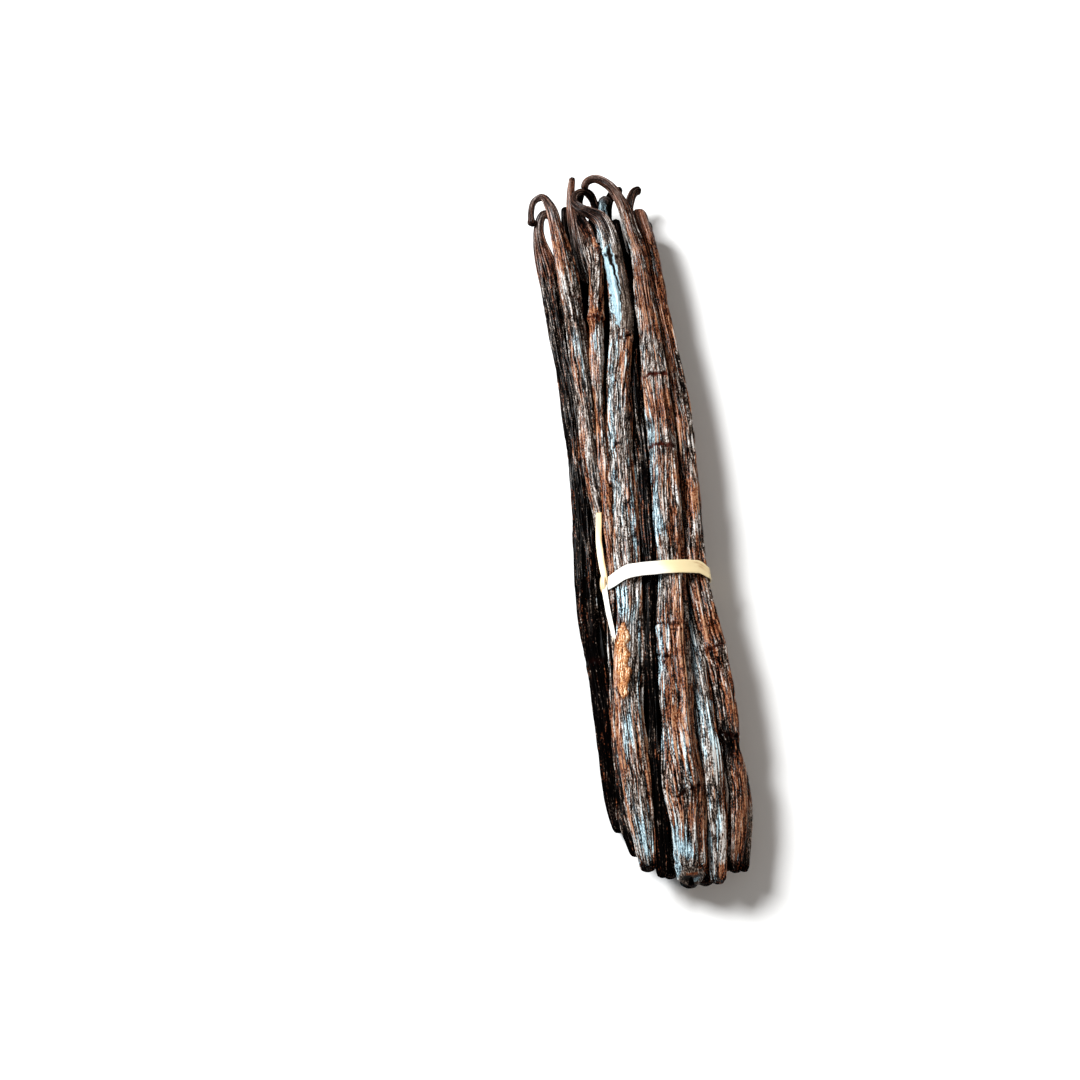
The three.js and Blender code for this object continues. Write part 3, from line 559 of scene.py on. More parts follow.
def colour_marks(grid, red):
    """What colours the skin: the pod's rust, its grey-blue film with a painted sheen and its
    paleness in patches, its darkness, partly painted shade, and its stem, and its zones, each a
    bell along the pod and round it, broken up by slow noise."""
    pod = grid.pod
    patches = [0.55 + 0.75 * ease(-0.3, 0.4, grid.wander(cells, long)) for cells, long in PATCHES]
    stem_reach = pod.get("stem_reach", STEM_REACH)
    stem = ease(grid.length - stem_reach, grid.length - 0.55 * stem_reach, grid.s)
    none = np.zeros_like(grid.s)
    marks = dict(
        rust=over_turn(grid.theta, *pod["rust"]) * patches[0],
        bloom=over_turn(grid.theta, *pod["bloom"]) * patches[1] * (1 - 0.6 * stem),
        pale=pod["pale"] * (patches[2] - 0.3) * (1 - 0.6 * stem),
        dark=np.interp(grid.y, DARK_AT, pod["dark"]) * (1 - stem),
        smooth=none, stem=stem, cork=none, red=red,
    )
    for mark, y, aim, long, reach, amount in pod.get("zones", ()):
        patch = bump(grid.y, y, long) * bump(turned_from(grid.theta, aim), 0, np.radians(reach))
        patch = patch * (0.6 + 0.8 * ease(-0.4, 0.4, grid.wander(6, 5.0)))
        marks[mark] = marks[mark] + amount * patch
    return marks


# The smooth strip on the top left pod: places along the bundle, and in radians the turn there of
# the blue's right edge, of the left edge, of the fold that splits the blue, and half its width.
STRIP_AT = (42.5, 44.5, 52.0, 59.0, 62.0, 65.5)
BLUE_EDGE = (1.84, 1.70, 1.46, 1.44, 1.62, 1.70)
LEFT_EDGE = (1.86, 2.20, 2.70, 3.10, 3.10, 2.20)
SPLIT_LINE = (1.70, 1.66, 1.54, 1.84, 2.10, 1.94)
SPLIT_HALF = (0.03, 0.04, 0.06, 0.11, 0.30, 0.16)


def smooth_strip(along_y, turn):
    """Where the top left pod's skin is smooth: the upper part of its body, down to a node.

    The numbers are the strip, its pale blue left half, a painted sky sheen, and a fold that lies
    open near the strip's top and closes to a line further down.
    """
    ragged = 0.05 * np.sin(along_y * 1.9) + 0.03 * np.sin(along_y * 4.3 + 1)
    edge = turn - ragged - np.interp(along_y, STRIP_AT, BLUE_EDGE)
    outer = np.interp(along_y, STRIP_AT, LEFT_EDGE) + 2 * ragged - turn
    split = np.abs(turn - ragged - np.interp(along_y, STRIP_AT, SPLIT_LINE))
    split = 1 - ease(0.6, 1.5, split / np.interp(along_y, STRIP_AT, SPLIT_HALF))
    split = split * ease(44.0, 50.0, along_y) * (1 - ease(64.5, 65.5, along_y))
    ends = ease(42.0, 43.0, along_y + ragged * 8) * (1 - ease(64.8, 65.8, along_y))
    strip = ease(0.35, 0.6, turn) * ease(-0.08, 0.08, outer) * ends
    return strip, ease(-0.06, 0.06, edge) * (1 - 0.85 * split), split * ends


# Lumps of one corky patch on the top left pod's skin: y, turn in radians, half length and half
# width in millimetres. They run into each other.
LUMPS = (
    (-31.6, 2.22, 1.4, 1.0), (-33.4, 2.06, 2.0, 1.3), (-35.4, 2.30, 2.1, 1.3),
    (-37.5, 2.04, 2.1, 1.2), (-39.7, 2.24, 2.1, 1.3), (-41.9, 2.00, 2.2, 1.3),
    (-44.0, 2.24, 2.0, 1.3), (-45.6, 2.08, 1.1, 0.9),
)


def corky_patch(grid):
    """The height of the corky lumps: each is a dome over an uneven oval, 1 - 3t^2 + 2t^3 of the
    distance from its middle, sunk a little at the middle. Where two meet, the higher counts."""
    height = np.zeros_like(grid.s)
    uneven = 0.34 * wander(grid.rng, grid.around, grid.y, 14, 1.6)
    radius = grid.girth / TURN
    for y, aim, long, wide in LUMPS:
        away = np.hypot((grid.y - y) / long, (grid.theta - aim) * radius / wide) + uneven
        dome = (1 - ease(0.65, 1.15, away)) * (1 - 0.22 * bump(away, 0, 0.35))
        height = np.maximum(height, dome)
    return height


def slit_depth(grid):
    """How deep the pod's slits are: each the square of a bell along the pod, times a narrow
    bell round it whose middle wanders a little."""
    depths = np.zeros_like(grid.s)
    for y, aim, long, reach, depth in grid.pod.get("slits", ()):
        off = turned_from(grid.theta, aim) + 0.05 * grid.wander(1, 6.0)
        depths += depth * bump(grid.y, y, long) ** 2 * bump(off, 0, np.radians(reach))
    return depths


def blossom_scar(grid, scar, marks):
    """The scar on the blossom end: its hollow, its rim, the smooth end face round a plain scar,
    and the side low on the right where a grey-blue highlight is painted on that face. The rim is
    rusty above. Hollow and rim go by the share of the way out from the middle, drawn out to an
    oval."""
    at_foot = scar * (grid.s < grid.length / 2)
    oval = grid.share * (1 - 0.20 * np.cos(2 * grid.theta)) + 0.04 * np.cos(grid.theta - 0.6)
    hollow = at_foot * (1 - ease(0.16, 0.56, oval))
    rim = at_foot * bump(oval, 0.60, 0.08)
    gleam = bump(turned_from(grid.theta, -40), 0, 1.1)
    face = at_foot * (1 - ease(0.70, 0.90, grid.share)) * ease(0.5, 0.8, scar)
    marks["rust"] = marks["rust"] * (1 - face) + 1.8 * rim * ease(0.6, 1.0, np.sin(grid.theta))
    # A painted grey-blue highlight on the end face, low on the right.
    marks["bloom"] = marks["bloom"] * (1 - face) + 1.0 * face * gleam * bump(oval, 0.36, 0.12)
    marks["smooth"] = np.maximum(marks["smooth"], face)
    return hollow, rim, face, gleam


def neighbours(pod, points):
    """How closely other pods lie against points of this one: 1 inside another pod's ellipse,
    falling to 0 at three tenths further from its middle."""
    near = np.zeros(points.shape[:2])
    for other in PODS:
        if other is pod:
            continue
        line, _, width, height = middle_line(other)
        body = slice(0, np.argmax(line[:, 1] > STATIONS[-1]))
        x, z, w, h = (np.interp(points[..., 1], line[body, 1], values[body])
                      for values in (line[:, 0], line[:, 2], width, height))
        away = np.hypot((points[..., 0] - x) / (w / 2), (points[..., 2] - z) / (h / 2))
        beside = ease(line[0, 1] - 2, line[0, 1] + 1, points[..., 1])
        beside = beside * (1 - ease(STATIONS[-1], STATIONS[-1] + 6, points[..., 1]))
        near = np.maximum(near, (1 - ease(1.0, 1.3, away)) * beside)
    return near


def pod_skin(pod):
    """The pod's surface in millimetres with what its material reads.

    At each place the skin is the middle line plus an ellipse of the pod's width and height,
    which bulges by slow noise and draws in where another pod touches it. The relief over it, in
    millimetres, is the ridges, the nodes with a groove between swollen lips, slits and cork.
    """
    grid = PodGrid(pod)
    scar, bevel = pod.get("scar", SCAR), pod.get("bevel", BEVEL)
    crease, red, lips, jump = node_marks(grid)
    drifted, fold, wrinkle, fibre, slack = ridges(grid, jump)
    marks = colour_marks(grid, red)
    open_fold = np.zeros_like(grid.s)
    if pod["name"] == "top_left":
        strip, blue, open_fold = smooth_strip(grid.y, grid.theta)
        marks["smooth"] = np.maximum(marks["smooth"], strip)
        # The strip's pale blue half is a painted sky sheen.
        marks["bloom"] = marks["bloom"] * (1 - strip) + 1.2 * blue * strip
        marks["rust"] = marks["rust"] * (1 - strip)
        marks["cork"] = corky_patch(grid)
    slit = slit_depth(grid)

    # The relief: fainter where the skin is smooth or corky, and shallower where the pod is thin.
    rough = (1 - 0.8 * marks["smooth"]) * (1 - 0.8 * ease(0.1, 0.5, marks["cork"]))
    thickness = np.clip(grid.w / np.median(grid.w), 0.3, 1.1)[:, None]
    relief = FOLD[2] * (fold * 2.2 - 0.5)
    relief += rough * slack * (WRINKLE[2] * (wrinkle - 0.5) + FIBRE[2] * (fibre - 0.5))
    relief = (relief + lips) * thickness - crease * thickness - 0.45 * open_fold - slit
    relief += marks["cork"] * (0.62 + 0.12 * grid.wander(26, 0.9))
    relief *= ease(0.35 + 0.3 * scar, 1.0, grid.share)
    hollow, rim, face, gleam = blossom_scar(grid, scar, marks)

    # The section: its size over the plain ellipse, and the relief along its outward direction.
    bulge = 1 + 0.08 * grid.wander(3, 22.0)
    bulge = bulge * (1 + 0.06 * wander(grid.rng, np.zeros_like(grid.s), grid.s, 1, 13.0))
    across = np.cos(grid.theta) * (grid.w[:, None] / 2)
    above = np.sin(grid.theta) * (grid.h[:, None] / 2)
    contact = neighbours(pod, grid.skin(across, above))
    bulge = bulge * grid.share * (1 - DRAWN_IN * contact)
    for y, reach, amount in pod.get("pinches", ()):
        bulge = bulge * (1 - amount * bump(grid.y, y, reach))
    if "ball" in pod:
        bulge = bulge * (1 + pod["ball"] * bump(grid.s, grid.length - 1.0, 0.8))
    if "blunt" in pod:
        ragged = grid.y + 1.3 * grid.wander_round(9)
        bulge = bulge * (1 - 0.40 * ease(pod["blunt"], pod["blunt"] + 0.8, ragged))
    outward = unit(np.stack([np.cos(grid.theta) / grid.w[:, None],
                             np.sin(grid.theta) / grid.h[:, None]], -1))
    across = across * bulge + outward[..., 0] * relief
    above = above * bulge + outward[..., 1] * relief
    lean = bevel * above * bump(grid.s, 0, 1.2 + 3.2 * bevel)
    end_face = 0.6 * hollow - 0.50 * rim
    surface = grid.skin(across, above) + grid.forward[:, None] * (end_face + lean)[..., None]
    surface[..., 2] = np.maximum(surface[..., 2], FLOOR_GAP)

    # What the material reads: crest is how high on the ridges a place lies, which the material
    # turns into painted shade in the valleys and painted highlights on the crests, and the
    # darkness mark how much of its colour the ground, the neighbours, the two ends and the scar
    # take; the neighbours' and the scar's part is painted shade.
    crest = np.clip(0.62 * wrinkle * slack + 0.30 * fibre + 0.25 * fold, 0, 1)
    crest = crest * rough + 0.55 * (1 - rough)
    crest = crest * (1 - face) + 0.5 * face
    marks["crest"] = crest * (1 - ease(0.05, 0.35, crease)) * (1 - 0.8 * open_fold)
    # Painted shade: creases, slits, the open fold and the scar's hollow are painted black, the
    # hollow less so where its painted highlight lies.
    marks["crease"] = np.clip(ease(0.04, 0.3, crease) + ease(0.15, 0.5, slit) + open_fold
                              + 0.4 * hollow * (1 - 0.9 * gleam), 0, 1)
    foot = 1 - ease(0.3, 2.4, grid.s)
    tip = ease(grid.length - 1.6, grid.length, grid.s)
    # Painted shade: darker where other pods lie close against the skin and in the scar's hollow.
    marks["dark"] = (marks["dark"] + pod["stem_dark"] * marks["stem"] + ease(0.25, 0.95, contact)
                     + 0.7 * foot * (1 - scar) + 0.55 * hollow * (1 - 0.5 * gleam) + 0.6 * tip)
    marks = {name: np.clip(values, 0, 1) for name, values in marks.items()}
    flow = TURN * drifted
    radius = grid.share * grid.girth / TURN
    marks["grain"] = np.stack([radius * np.cos(flow), radius * np.sin(flow), grid.s], -1)
    return surface, marks


CORE_RINGS = 180
CORE_SIDES = 120


def core_skin():
    """The core, coloured as painted shade where it shows between the pods: ellipses through the
    named places, with the pods' wrinkles over them.
    """
    rng = np.random.default_rng(5)
    rows = np.array(CORE, float)
    y = np.linspace(rows[0, 0], rows[-1, 0], CORE_RINGS)
    x, z, w, h = (np.interp(y, rows[:, 0], rows[:, k])[:, None] for k in (1, 2, 3, 4))
    theta, s = np.meshgrid(TURN * (np.arange(CORE_SIDES) + 0.5) / CORE_SIDES, y)
    waves = np.abs(wander(rng, theta / TURN, s, 26, 30.0)) - 0.3
    radius = 1 + 0.18 * waves
    surface = np.stack([x + np.cos(theta) * w / 2 * radius, s,
                        z + np.sin(theta) * h / 2 * radius], -1)
    still = np.zeros_like(s)
    # Painted shade: the core takes the full darkness where it shows in the gaps between pods.
    marks = dict(crest=0.3 + 0.3 * waves, rust=still + 0.2, bloom=still, pale=still,
                 dark=still + 1, cork=still, crease=still, red=still, smooth=still, stem=still,
                 grain=np.stack([6 * np.cos(theta), 4 * np.sin(theta), s], -1))
    return surface, marks


# ---------------------------------------------------------------- raffia

STRIP_SIDES = 40
WAIST_DIRECTIONS = 180
WAIST_RINGS = 360


def strip_skin(path, facing, width, thickness, seed, looped=False, curl=0.0):
    """A flat strip along a path, with fine ribs along it. Its section is a rounded slab: half
    the width times |cos|^0.32 by half the thickness times |sin|^0.75, whose edges bend outwards
    by curl times the squared distance from the middle."""
    rng = np.random.default_rng(seed)
    count = len(path)
    ahead = np.roll(path, -1, 0) - np.roll(path, 1, 0) if looped else np.gradient(path, axis=0)
    forward = unit(ahead)
    side = unit(np.cross(forward, facing))
    out = np.cross(side, forward)
    theta = TURN * (np.arange(STRIP_SIDES) + 0.5) / STRIP_SIDES
    flat = np.sign(np.cos(theta)) * np.abs(np.cos(theta)) ** 0.32
    thick = np.sign(np.sin(theta)) * np.abs(np.sin(theta)) ** 0.75
    run = np.concatenate([[0], np.cumsum(np.linalg.norm(np.diff(path, axis=0), axis=1))])
    width = np.broadcast_to(width, count)[:, None]
    thickness = np.broadcast_to(thickness, count)[:, None]
    across = flat[None, :] * width / 2
    around, s = np.meshgrid(theta / TURN, run)
    ribs = 0.035 * wander(rng, around, s, 26, 16.0) * np.abs(np.sin(theta))[None, :]
    ragged = 0.05 * wander(rng, around, s, 4, 2.5) * np.sign(np.cos(theta))[None, :]
    through = thick[None, :] * thickness / 2 + ribs + curl * flat[None, :] ** 2
    surface = (path[:, None] + side[:, None] * (across + ragged)[..., None]
               + out[:, None] * through[..., None])
    grain = np.stack([across + 0 * s, through, s], -1)
    return surface, dict(grain=grain, along=s / run[-1])


def waist(pods_points):
    """The tight rounded outline round the pods at the tie, as points seen along the bundle.

    For each direction the outline reaches r as far as the furthest pod, plus a small clearance,
    softened over neighbouring directions. Its point there is r times the direction plus the
    change of r per radian times the direction a quarter turn on.
    """
    angle = TURN * np.arange(WAIST_DIRECTIONS) / WAIST_DIRECTIONS - np.pi / 2
    normal = np.stack([np.cos(angle), np.sin(angle)], -1)
    reach = (pods_points @ normal.T).max(0) + TIE_CLEARANCE + TIE_THICKNESS / 2
    reach = soften(reach, 7, "wrap")
    change = (np.roll(reach, -1) - np.roll(reach, 1)) / (2 * TURN / WAIST_DIRECTIONS)
    quarter_on = np.stack([-normal[:, 1], normal[:, 0]], -1)
    outline = reach[:, None] * normal + change[:, None] * quarter_on
    closed = np.vstack([outline, outline[:1]])
    run = np.concatenate([[0], np.cumsum(np.linalg.norm(np.diff(closed, axis=0), axis=1))])
    even = np.linspace(0, run[-1], WAIST_RINGS + 1)[:-1]
    return np.stack([np.interp(even, run, closed[:, k]) for k in range(2)], -1)


# ---------------------------------------------------------------- materials

class Number:
    """A number that varies over a surface. An expression on it adds Math nodes to its look."""

    def __init__(self, look, socket):
        self.look = look
        self.socket = socket

    def __add__(self, other):
        return self.look.math("ADD", self, other)

    def __sub__(self, other):
        return self.look.math("SUBTRACT", self, other)

    def __rsub__(self, other):
        return self.look.math("SUBTRACT", other, self)

    def __mul__(self, other):
        return self.look.math("MULTIPLY", self, other)

    __radd__ = __add__
    __rmul__ = __mul__


class Look:
    """A material built from nodes, with a Principled shader that goes to the output."""

    def __init__(self, name, **settings):
        self.material = bpy.data.materials.new(name)
        self.material.use_nodes = True
        self.tree = self.material.node_tree
        self.tree.nodes.clear()
        self.shader = self.tree.nodes.new("ShaderNodeBsdfPrincipled")
        for socket, value in settings.items():
            self.shader.inputs[socket.replace("_", " ")].default_value = value
        output = self.tree.nodes.new("ShaderNodeOutputMaterial")
        self.tree.links.new(self.shader.outputs["BSDF"], output.inputs["Surface"])

    def node(self, kind, settings=None, **sockets):
        """A node of any kind: its settings first, then the values or links of its sockets. A
        socket is named by its label with _ for a space, or by in and its number."""
        node = self.tree.nodes.new("ShaderNode" + kind)
        for setting, value in (settings or {}).items():
            if setting == "stops":
                ramp = node.color_ramp
                while len(ramp.elements) < len(value):
                    ramp.elements.new(0.5)
                for element, (place, colour) in zip(ramp.elements, value):
                    element.position = place
                    element.color = (*colour, 1)
            else:
                setattr(node, setting, value)
        for socket, value in sockets.items():
            key = int(socket[2:]) if socket[:2] == "in" else socket.replace("_", " ")
            value = getattr(value, "socket", value)
            if isinstance(value, bpy.types.NodeSocket):
                self.tree.links.new(value, node.inputs[key])
            else:
                node.inputs[key].default_value = value
        return node

    def math(self, operation, a, b=0.0):
        """The outcome of an operation on one or two numbers."""
        node = self.node("Math", dict(operation=operation), in0=a, in1=b)
        return Number(self, node.outputs[0])

    def mark(self, name):
        """The number that each point of the mesh carries under this name."""
        node = self.node("Attribute", dict(attribute_type="GEOMETRY", attribute_name=name))
        return Number(self, node.outputs["Fac"])

    def grain(self, stretch):
        """The place in the strip or pod skin, in millimetres, with its length divided by
        stretch, so that a pattern on it runs lengthwise."""
        node = self.node("Attribute", dict(attribute_type="GEOMETRY", attribute_name="grain"))
        scaled = self.node("VectorMath", dict(operation="MULTIPLY"), in0=node.outputs["Vector"],
                           in1=(1, 1, 1 / stretch))
        return scaled.outputs["Vector"]

    def noise(self, place, scale, detail, roughness):
        """Noise of about 0 to 1 over a place, with scale cells to a millimetre."""
        node = self.node("TexNoise", Vector=place, Scale=scale, Detail=detail,
                         Roughness=roughness)
        return Number(self, node.outputs["Fac"])

    def step(self, value, low, high):
        """0 up to low and 1 from high on, smooth between them."""
        node = self.node("MapRange", dict(interpolation_type="SMOOTHSTEP"), Value=value,
                         From_Min=low, From_Max=high)
        return Number(self, node.outputs["Result"])

    def mix(self, share, first, second):
        """The first colour where share is 0 and the second where it is 1."""
        node = self.node("Mix", dict(data_type="RGBA"), in0=share, in6=colour(first),
                         in7=colour(second))
        return node.outputs[2]

    def ramp(self, value, stops):
        """The colour for a number, blended between stops of a place and a colour each."""
        return self.node("ValToRGB", dict(stops=stops), Fac=value).outputs["Color"]

    def feed(self, **sockets):
        """Link numbers or colours to the shader's sockets."""
        for socket, value in sockets.items():
            self.tree.links.new(getattr(value, "socket", value),
                                self.shader.inputs[socket.replace("_", " ")])

    def bumps(self, height, reach_mm, strength):
        """Tilt the surface's shading as if it stood out by the height times the reach."""
        node = self.node("Bump", Height=height, Distance=reach_mm * MM, Strength=strength)
        self.feed(Normal=node.outputs["Normal"])


def colour(value):
    """A colour with its alpha, or a link as it is."""
    return (*value, 1.0) if isinstance(value, tuple) else value


BLACK = (0.0007, 0.0005, 0.0005)
BLOOD = (0.075, 0.014, 0.008)

# Colours by tone, from the bottom of the valleys to the crests of the ridges: the black at the
# bottom is painted shade and the palest colours at the top are painted highlights.
SKIN_TONES = (
    (0.05, BLACK), (0.35, (0.0085, 0.0052, 0.0040)), (0.53, (0.060, 0.041, 0.030)),
    (0.68, (0.160, 0.118, 0.091)), (0.83, (0.300, 0.256, 0.226)), (1.0, (0.51, 0.485, 0.46)),
)
RUST_TONES = (
    (0.15, BLACK), (0.39, (0.068, 0.017, 0.007)), (0.61, (0.185, 0.053, 0.019)),
    (0.84, (0.275, 0.100, 0.039)), (1.0, (0.39, 0.20, 0.10)),
)
# Grey-blue tones of the waxy film and its painted sky sheen.
BLOOM_AND_SHEEN_TONES = (
    (0.15, BLACK), (0.40, (0.055, 0.078, 0.092)), (0.60, (0.19, 0.28, 0.33)),
    (0.84, (0.40, 0.60, 0.67)), (1.0, (0.64, 0.80, 0.84)),
)
STEM_TONES = (
    (0.10, BLACK), (0.38, (0.032, 0.016, 0.012)), (0.60, (0.110, 0.060, 0.044)),
    (0.80, (0.24, 0.165, 0.135)), (1.0, (0.46, 0.38, 0.34)),
)
# The corky lumps from their edges to their tops: the cork's own tan, with painted shade at the
# edges and a painted cream highlight at the top.
CORK_TONES = (
    (0.15, (0.060, 0.018, 0.008)), (0.38, (0.27, 0.090, 0.030)), (0.62, (0.44, 0.185, 0.068)),
    (0.78, (0.60, 0.33, 0.15)), (0.90, (0.86, 0.72, 0.52)),
)

# How much the rust and grey-blue marks count beside the tint noise, and between which sums of the
# two the skin turns to rust and to the grey-blue film with its painted sky sheen.
MARK_SHARE = 0.42
RUST_EDGE = (0.680, 0.765)
BLOOM_AND_SHEEN_EDGE = (-0.31, -0.22)

# The raffia from its palest to its tanned streaks.
CREAM = (0.88, 0.86, 0.80)
YELLOW = (0.80, 0.66, 0.38)
STRAW = (0.62, 0.44, 0.20)
TAN = (0.44, 0.24, 0.09)


def pod_look():
    """Oily wrinkled skin: black painted shade in the valleys, brown to grey on the ridges up to
    painted highlights on the crests, with rust strands, and grey-blue strands of a waxy film with
    a painted sky sheen, where the pod's own marks say."""
    look = Look("vanilla_skin", IOR=1.45, Specular_IOR_Level=0.0, Coat_Roughness=0.27,
                Coat_IOR=1.5)
    strand = look.noise(look.grain(26.0), 2.3, 1.0, 0.5)
    short = look.noise(look.grain(9.0), 3.7, 1.0, 0.5)
    grit = look.noise(look.grain(2.2), 5.2, 1.0, 0.6)
    tint = look.noise(look.grain(22.0), 2.8, 2.0, 0.6)
    crest, dark = look.mark("crest"), look.mark("dark")
    smooth, cork, crease = look.mark("smooth"), look.mark("cork"), look.mark("crease")
    bloom, stem = look.mark("bloom"), look.mark("stem")
    streaks = (strand - 0.5) * 1.3 + (short - 0.5) * 2.1 + (grit - 0.5) * 2.0
    # The tone follows the ridges: painted shade low in the valleys and painted highlights on the
    # crests, paler where the pale mark, in places a painted highlight, says.
    tone = crest * 0.62 + streaks * (1 - 0.45 * stem) + look.mark("pale") * 0.15 + 0.172
    # Smooth skin takes an even middle tone, paler where the grey-blue painted sheen lies.
    calm = smooth * (0.50 + 0.24 * bloom)
    tone = tone * (1 - calm) + calm * (0.57 + 0.25 * bloom) - dark * 0.68
    base = look.ramp(tone, SKIN_TONES)
    rusty = look.step(tint + look.mark("rust") * MARK_SHARE, *RUST_EDGE)
    base = look.mix(rusty * 0.95, base, look.ramp(tone, RUST_TONES))
    # Grey-blue: a waxy film with a painted sky sheen, where the pod's own mark says.
    blue = look.step(bloom * MARK_SHARE - tint, *BLOOM_AND_SHEEN_EDGE)
    base = look.mix(blue * 0.9, base, look.ramp(tone, BLOOM_AND_SHEEN_TONES))
    base = look.mix(stem * (1 - 0.5 * rusty) * 0.85, base, look.ramp(tone, STEM_TONES))
    # Painted shade: black in the creases, slits, open fold and the scar's hollow.
    base = look.mix(crease * 0.92, base, BLACK)
    base = look.mix(look.mark("red") * 0.75, base, BLOOD)
    # The corky lumps grow paler with their height, up to a painted cream highlight on their tops.
    cork_tone = 0.10 + 0.48 * cork + (short - 0.5) * 1.5 + (grit - 0.5) * 1.8
    base = look.mix(look.step(cork, 0.12, 0.40), base, look.ramp(cork_tone, CORK_TONES))
    oil = look.step(crest, 0.2, 0.8) * (1 - dark * 0.98) * (1 - 0.7 * cork) * 0.50
    look.feed(Base_Color=base, Roughness=0.40 + 0.25 * grit, Coat_Weight=oil)
    look.bumps(short * 0.5 + grit * 0.5, 0.16, 0.8)
    return look.material


def raffia_look():
    """Dry palm fibre: cream to yellow where the yellow mark says, with straw streaks along it,
    and tanned where the tan mark says."""
    look = Look("raffia_strip", IOR=1.45)
    strand = look.noise(look.grain(22.0), 4.5, 3.0, 0.6)
    patch = look.noise(look.grain(4.0), 0.20, 2.0, 0.5)
    base = look.mix(look.mark("yellow"), CREAM, YELLOW)
    base = look.mix(look.step(strand, 0.55, 0.78) * 0.45, base, STRAW)
    tanned = look.mark("tan") * look.step(strand + patch * 0.4, 0.45, 0.8)
    base = look.mix(tanned, base, TAN)
    look.feed(Base_Color=base, Roughness=0.42 + 0.2 * strand)
    look.bumps(strand, 0.10, 0.5)
    return look.material


# ---------------------------------------------------------------- the bundle

# The outer left pod lies outside the raffia, and the core doesn't reach it.
NOT_HELD = ("pod_outer_left", "pod_core")

skin_material = pod_look()
skins = {"pod_" + pod["name"]: pod_skin(pod) for pod in PODS}
skins["pod_core"] = core_skin()
near_tie = []
for name, (surface, marks) in skins.items():
    piece = tube_piece(name, surface, marks)
    piece.data.materials.append(skin_material)
    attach(piece, "root")
    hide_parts("pods")
    if name not in NOT_HELD:
        close = np.abs(surface[..., 1] - TIE_Y) < TIE_WIDTH / 2
        near_tie.append(surface[close][:, [0, 2]])

# ---------------------------------------------------------------- the tie

raffia_material = raffia_look()


def raffia_piece(name, surface, marks, looped=False):
    """A strip of raffia as a piece that stands for the tie."""
    piece = tube_piece(name, surface, marks, looped)
    piece.data.materials.append(raffia_material)
    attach(piece, "root")
    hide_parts("tie")


def ribbon(points, seed, width, thickness, steps=14, curl=0.0):
    """A loose strip of raffia through points, turned to the left and up. width and thickness
    are given at even places along it."""
    path = line_through(points, steps)
    along = np.linspace(0, 1, len(path))
    width = np.interp(along, np.linspace(0, 1, len(width)), width)
    thickness = np.interp(along, np.linspace(0, 1, len(thickness)), thickness)
    return strip_skin(path, LEFT_AND_UP, width, thickness, seed, curl=curl)


# The turn sags towards the blossom ends on both sides of the bundle, and is narrower at the
# knot and where it bends down on the right.
outline = waist(np.vstack(near_tie))
x = outline[:, 0]
sag = 1.3 * (1 - ease(-9.0, -2.5, x)) + 1.5 * ease(12.0, 15.2, x)
turn_path = np.stack([x, TIE_Y - sag, outline[:, 1]], -1)
tangent = np.roll(turn_path, -1, 0) - np.roll(turn_path, 1, 0)
outward = unit(np.cross(tangent, np.array([0.0, -1.0, 0.0])))
turn_width = TIE_WIDTH - 0.25 * bump(x, -9.0, 2.0) - 0.7 * ease(12.0, 15.0, x)
surface, marks = strip_skin(turn_path, outward, turn_width, TIE_THICKNESS, 31, looped=True,
                            curl=0.05)

# It is yellow towards the right, and tan along a crease there, two on the left and at the knot.
x = surface[..., 0]
across = marks["grain"][..., 0] * np.sign(outward[:, None, 2] + 0.2)
right_crease = bump(across, 0.9 - 0.22 * (x - 12.0), 0.16) * ease(10.5, 12.5, x)
left_creases = bump(across, -0.5 + 0.35 * (x + 8.5), 0.16) + bump(across, 0.75, 0.12)
at_knot = 0.9 * (1 - ease(-9.4, -8.2, x))
marks["yellow"] = ease(1.5, 6.5, x + 0.8 * marks["grain"][..., 0])
marks["tan"] = np.clip(at_knot + right_crease + left_creases * (1 - ease(-8.4, -6.8, x)), 0, 1)
raffia_piece("raffia_turn", surface, marks, looped=True)

# The knot: a short strip that slants over the turn's left end from its upper edge to its lower.
KNOT_LINE = KNOT_AT + np.array([
    (0.85, -2.3, -0.7), (0.10, -2.3, 0.0), (-0.30, -1.5, 0.42), (-0.30, -0.1, 0.60),
    (-0.05, 1.1, 0.55), (0.40, 1.9, 0.10), (1.0, 1.8, -0.7),
])
surface, marks = ribbon(KNOT_LINE, 32, (1.1, 1.3, 1.5, 1.3, 1.0), (0.32, 0.42, 0.32), curl=-0.12)
across = marks["grain"][..., 0]
marks["yellow"] = np.full(across.shape, 0.8)
marks["tan"] = 0.25 + 0.75 * bump(across, 0.55, 0.25) + 0.6 * bump(across, -0.55, 0.2)
raffia_piece("raffia_knot", surface, marks)

# Its two tails: one up the bundle that lies in a groove, and a shorter one down it.
UPPER_TAIL = ((-8.7, -20.3, 11.0), (-8.8, -18.2, 11.7), (-9.0, -14.0, 11.35),
              (-8.95, -9.2, 11.2), (-8.55, -5.8, 11.4), (-8.15, -2.8, 11.8))
LOWER_TAIL = ((-8.9, -18.9, 11.0), (-9.10, -20.9, 11.6), (-8.95, -25.9, 11.5),
              (-8.65, -29.6, 11.5), (-8.35, -32.9, 11.8))
surface, marks = ribbon(UPPER_TAIL, 33, (1.0, 1.5, 1.6, 1.5, 1.6, 1.35), (0.35, 0.30, 0.22),
                        curl=0.10)
across = marks["grain"][..., 0]
marks["yellow"] = 0.62 + 0.38 * ease(-0.2, 0.5, across) + 0.4 * ease(0.6, 0.95, marks["along"])
marks["tan"] = 0.9 * ease(0.30, 0.62, across) + 0.35 * ease(0.45, 0.75, marks["along"])
raffia_piece("raffia_upper_tail", surface, marks)
surface, marks = ribbon(LOWER_TAIL, 34, (0.9, 1.25, 1.2, 1.1, 0.8), (0.35, 0.28, 0.20), curl=0.08)
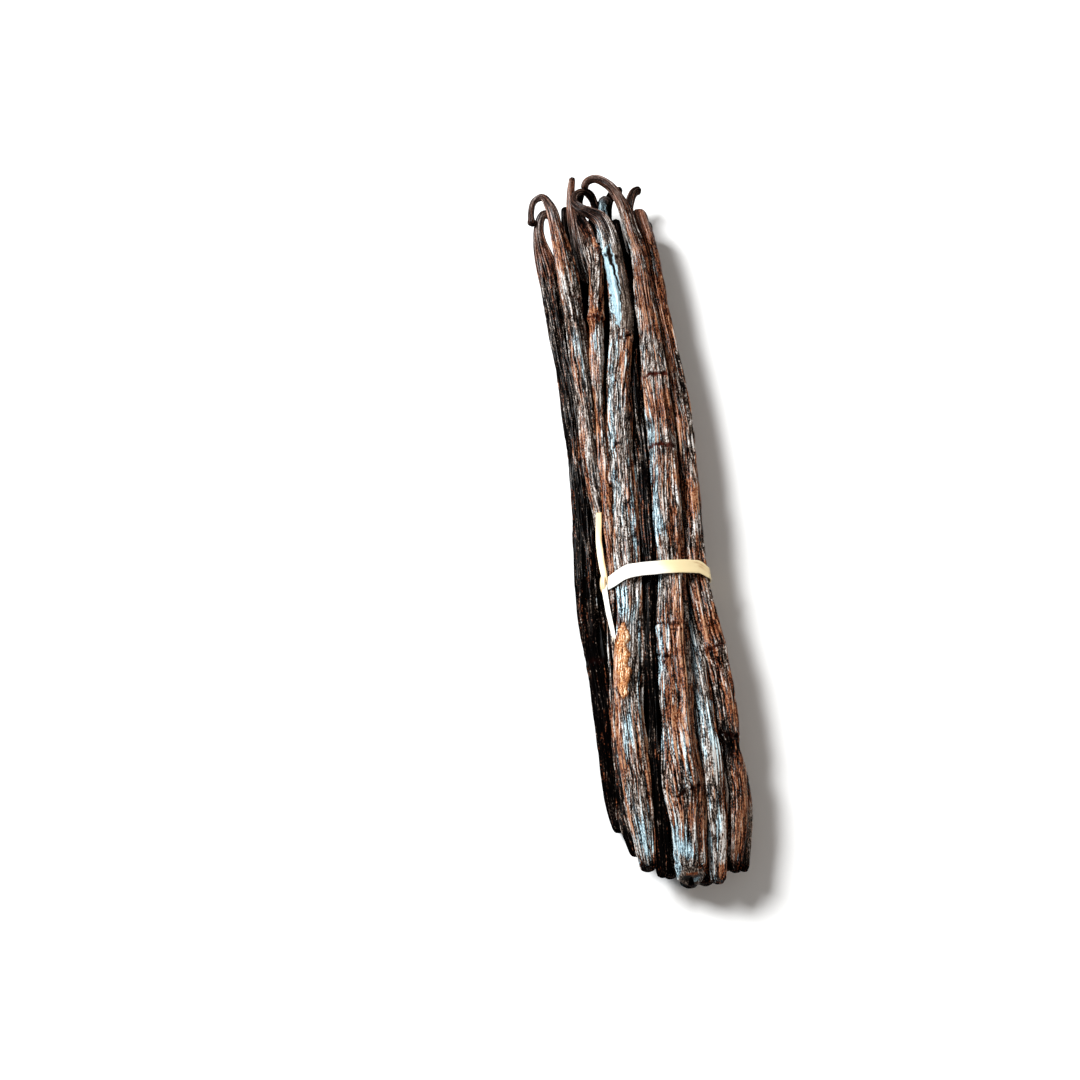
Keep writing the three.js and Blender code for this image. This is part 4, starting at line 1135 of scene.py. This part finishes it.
marks["yellow"] = 0.15 * ease(0.2, 0.5, marks["grain"][..., 0])
marks["tan"] = 0.6 * ease(0.93, 1.0, marks["along"])
raffia_piece("raffia_lower_tail", surface, marks)

# The frayed tip: a few split fibres that fan out of the lower tail's end.
FRAYS = ((-0.30, -1.5, 0.10), (-0.10, -2.1, 0.25), (0.12, -1.3, 0.05), (0.32, -1.8, 0.20))
for number, (dx, dy, dz) in enumerate(FRAYS):
    start = np.array(LOWER_TAIL[-1]) + (dx * 0.8, 0.9, 0.0)
    end = start + (dx * 1.3, dy, dz)
    bend = (start + end) / 2 + (0.12 * dx, 0.0, 0.12)
    surface, marks = ribbon([start, bend, end], 35 + number, (0.26, 0.16, 0.05),
                            (0.12, 0.10, 0.05), steps=8)
    marks["yellow"] = np.full(surface.shape[:2], 0.3)
    marks["tan"] = 0.8 * marks["along"]
    raffia_piece(f"raffia_fray_{number}", surface, marks)

# ---------------------------------------------------------------- floor, light and camera

# The camera's place in metres and the way it looks.
CAMERA_AT = (-0.03378, -0.11576, 0.30963)
GAZE = Vector((0.0363, 0.3401, -0.9397))

scene = bpy.context.scene
floor_mesh = bpy.data.meshes.new("floor")
floor_mesh.from_pydata([(-4, -4, 0), (4, -4, 0), (4, 4, 0), (-4, 4, 0)], [], [(0, 1, 2, 3)])
floor = bpy.data.objects.new("floor", floor_mesh)
scene.collection.objects.link(floor)
floor_look = Look("pale_floor", Base_Color=(0.86, 0.86, 0.85, 1), Roughness=0.7)
floor_mesh.materials.append(floor_look.material)


def area_light(name, place, size, power, tint):
    """A square soft light at a place in metres, facing the middle of the bundle."""
    lamp = bpy.data.lights.new(name, "AREA")
    lamp.size = size
    lamp.energy = power
    lamp.color = tint
    light = bpy.data.objects.new(name, lamp)
    light.location = place
    light.rotation_euler = (-Vector(place)).to_track_quat("-Z", "Y").to_euler()
    scene.collection.objects.link(light)


area_light("key", (-0.50, 0.34, 0.60), 0.28, 15.0, (0.97, 0.985, 1.0))
area_light("warm_side", (0.60, -0.10, 0.35), 0.30, 1.0, (1.0, 0.80, 0.62))

world = bpy.data.worlds.new("studio")
world.use_nodes = True
sky = world.node_tree.nodes["Background"].inputs
sky["Color"].default_value = (0.95, 0.97, 1.0, 1)
sky["Strength"].default_value = 0.22
scene.world = world
scene.view_settings.view_transform = "Standard"
scene.view_settings.look = "None"

lens = bpy.data.cameras.new("view")
lens.sensor_fit = "HORIZONTAL"
lens.sensor_width = 36.0
lens.lens = 46.667
camera = bpy.data.objects.new("view", lens)
camera.location = CAMERA_AT
camera.rotation_euler = GAZE.to_track_quat("-Z", "Y").to_euler()
scene.collection.objects.link(camera)
scene.camera = camera
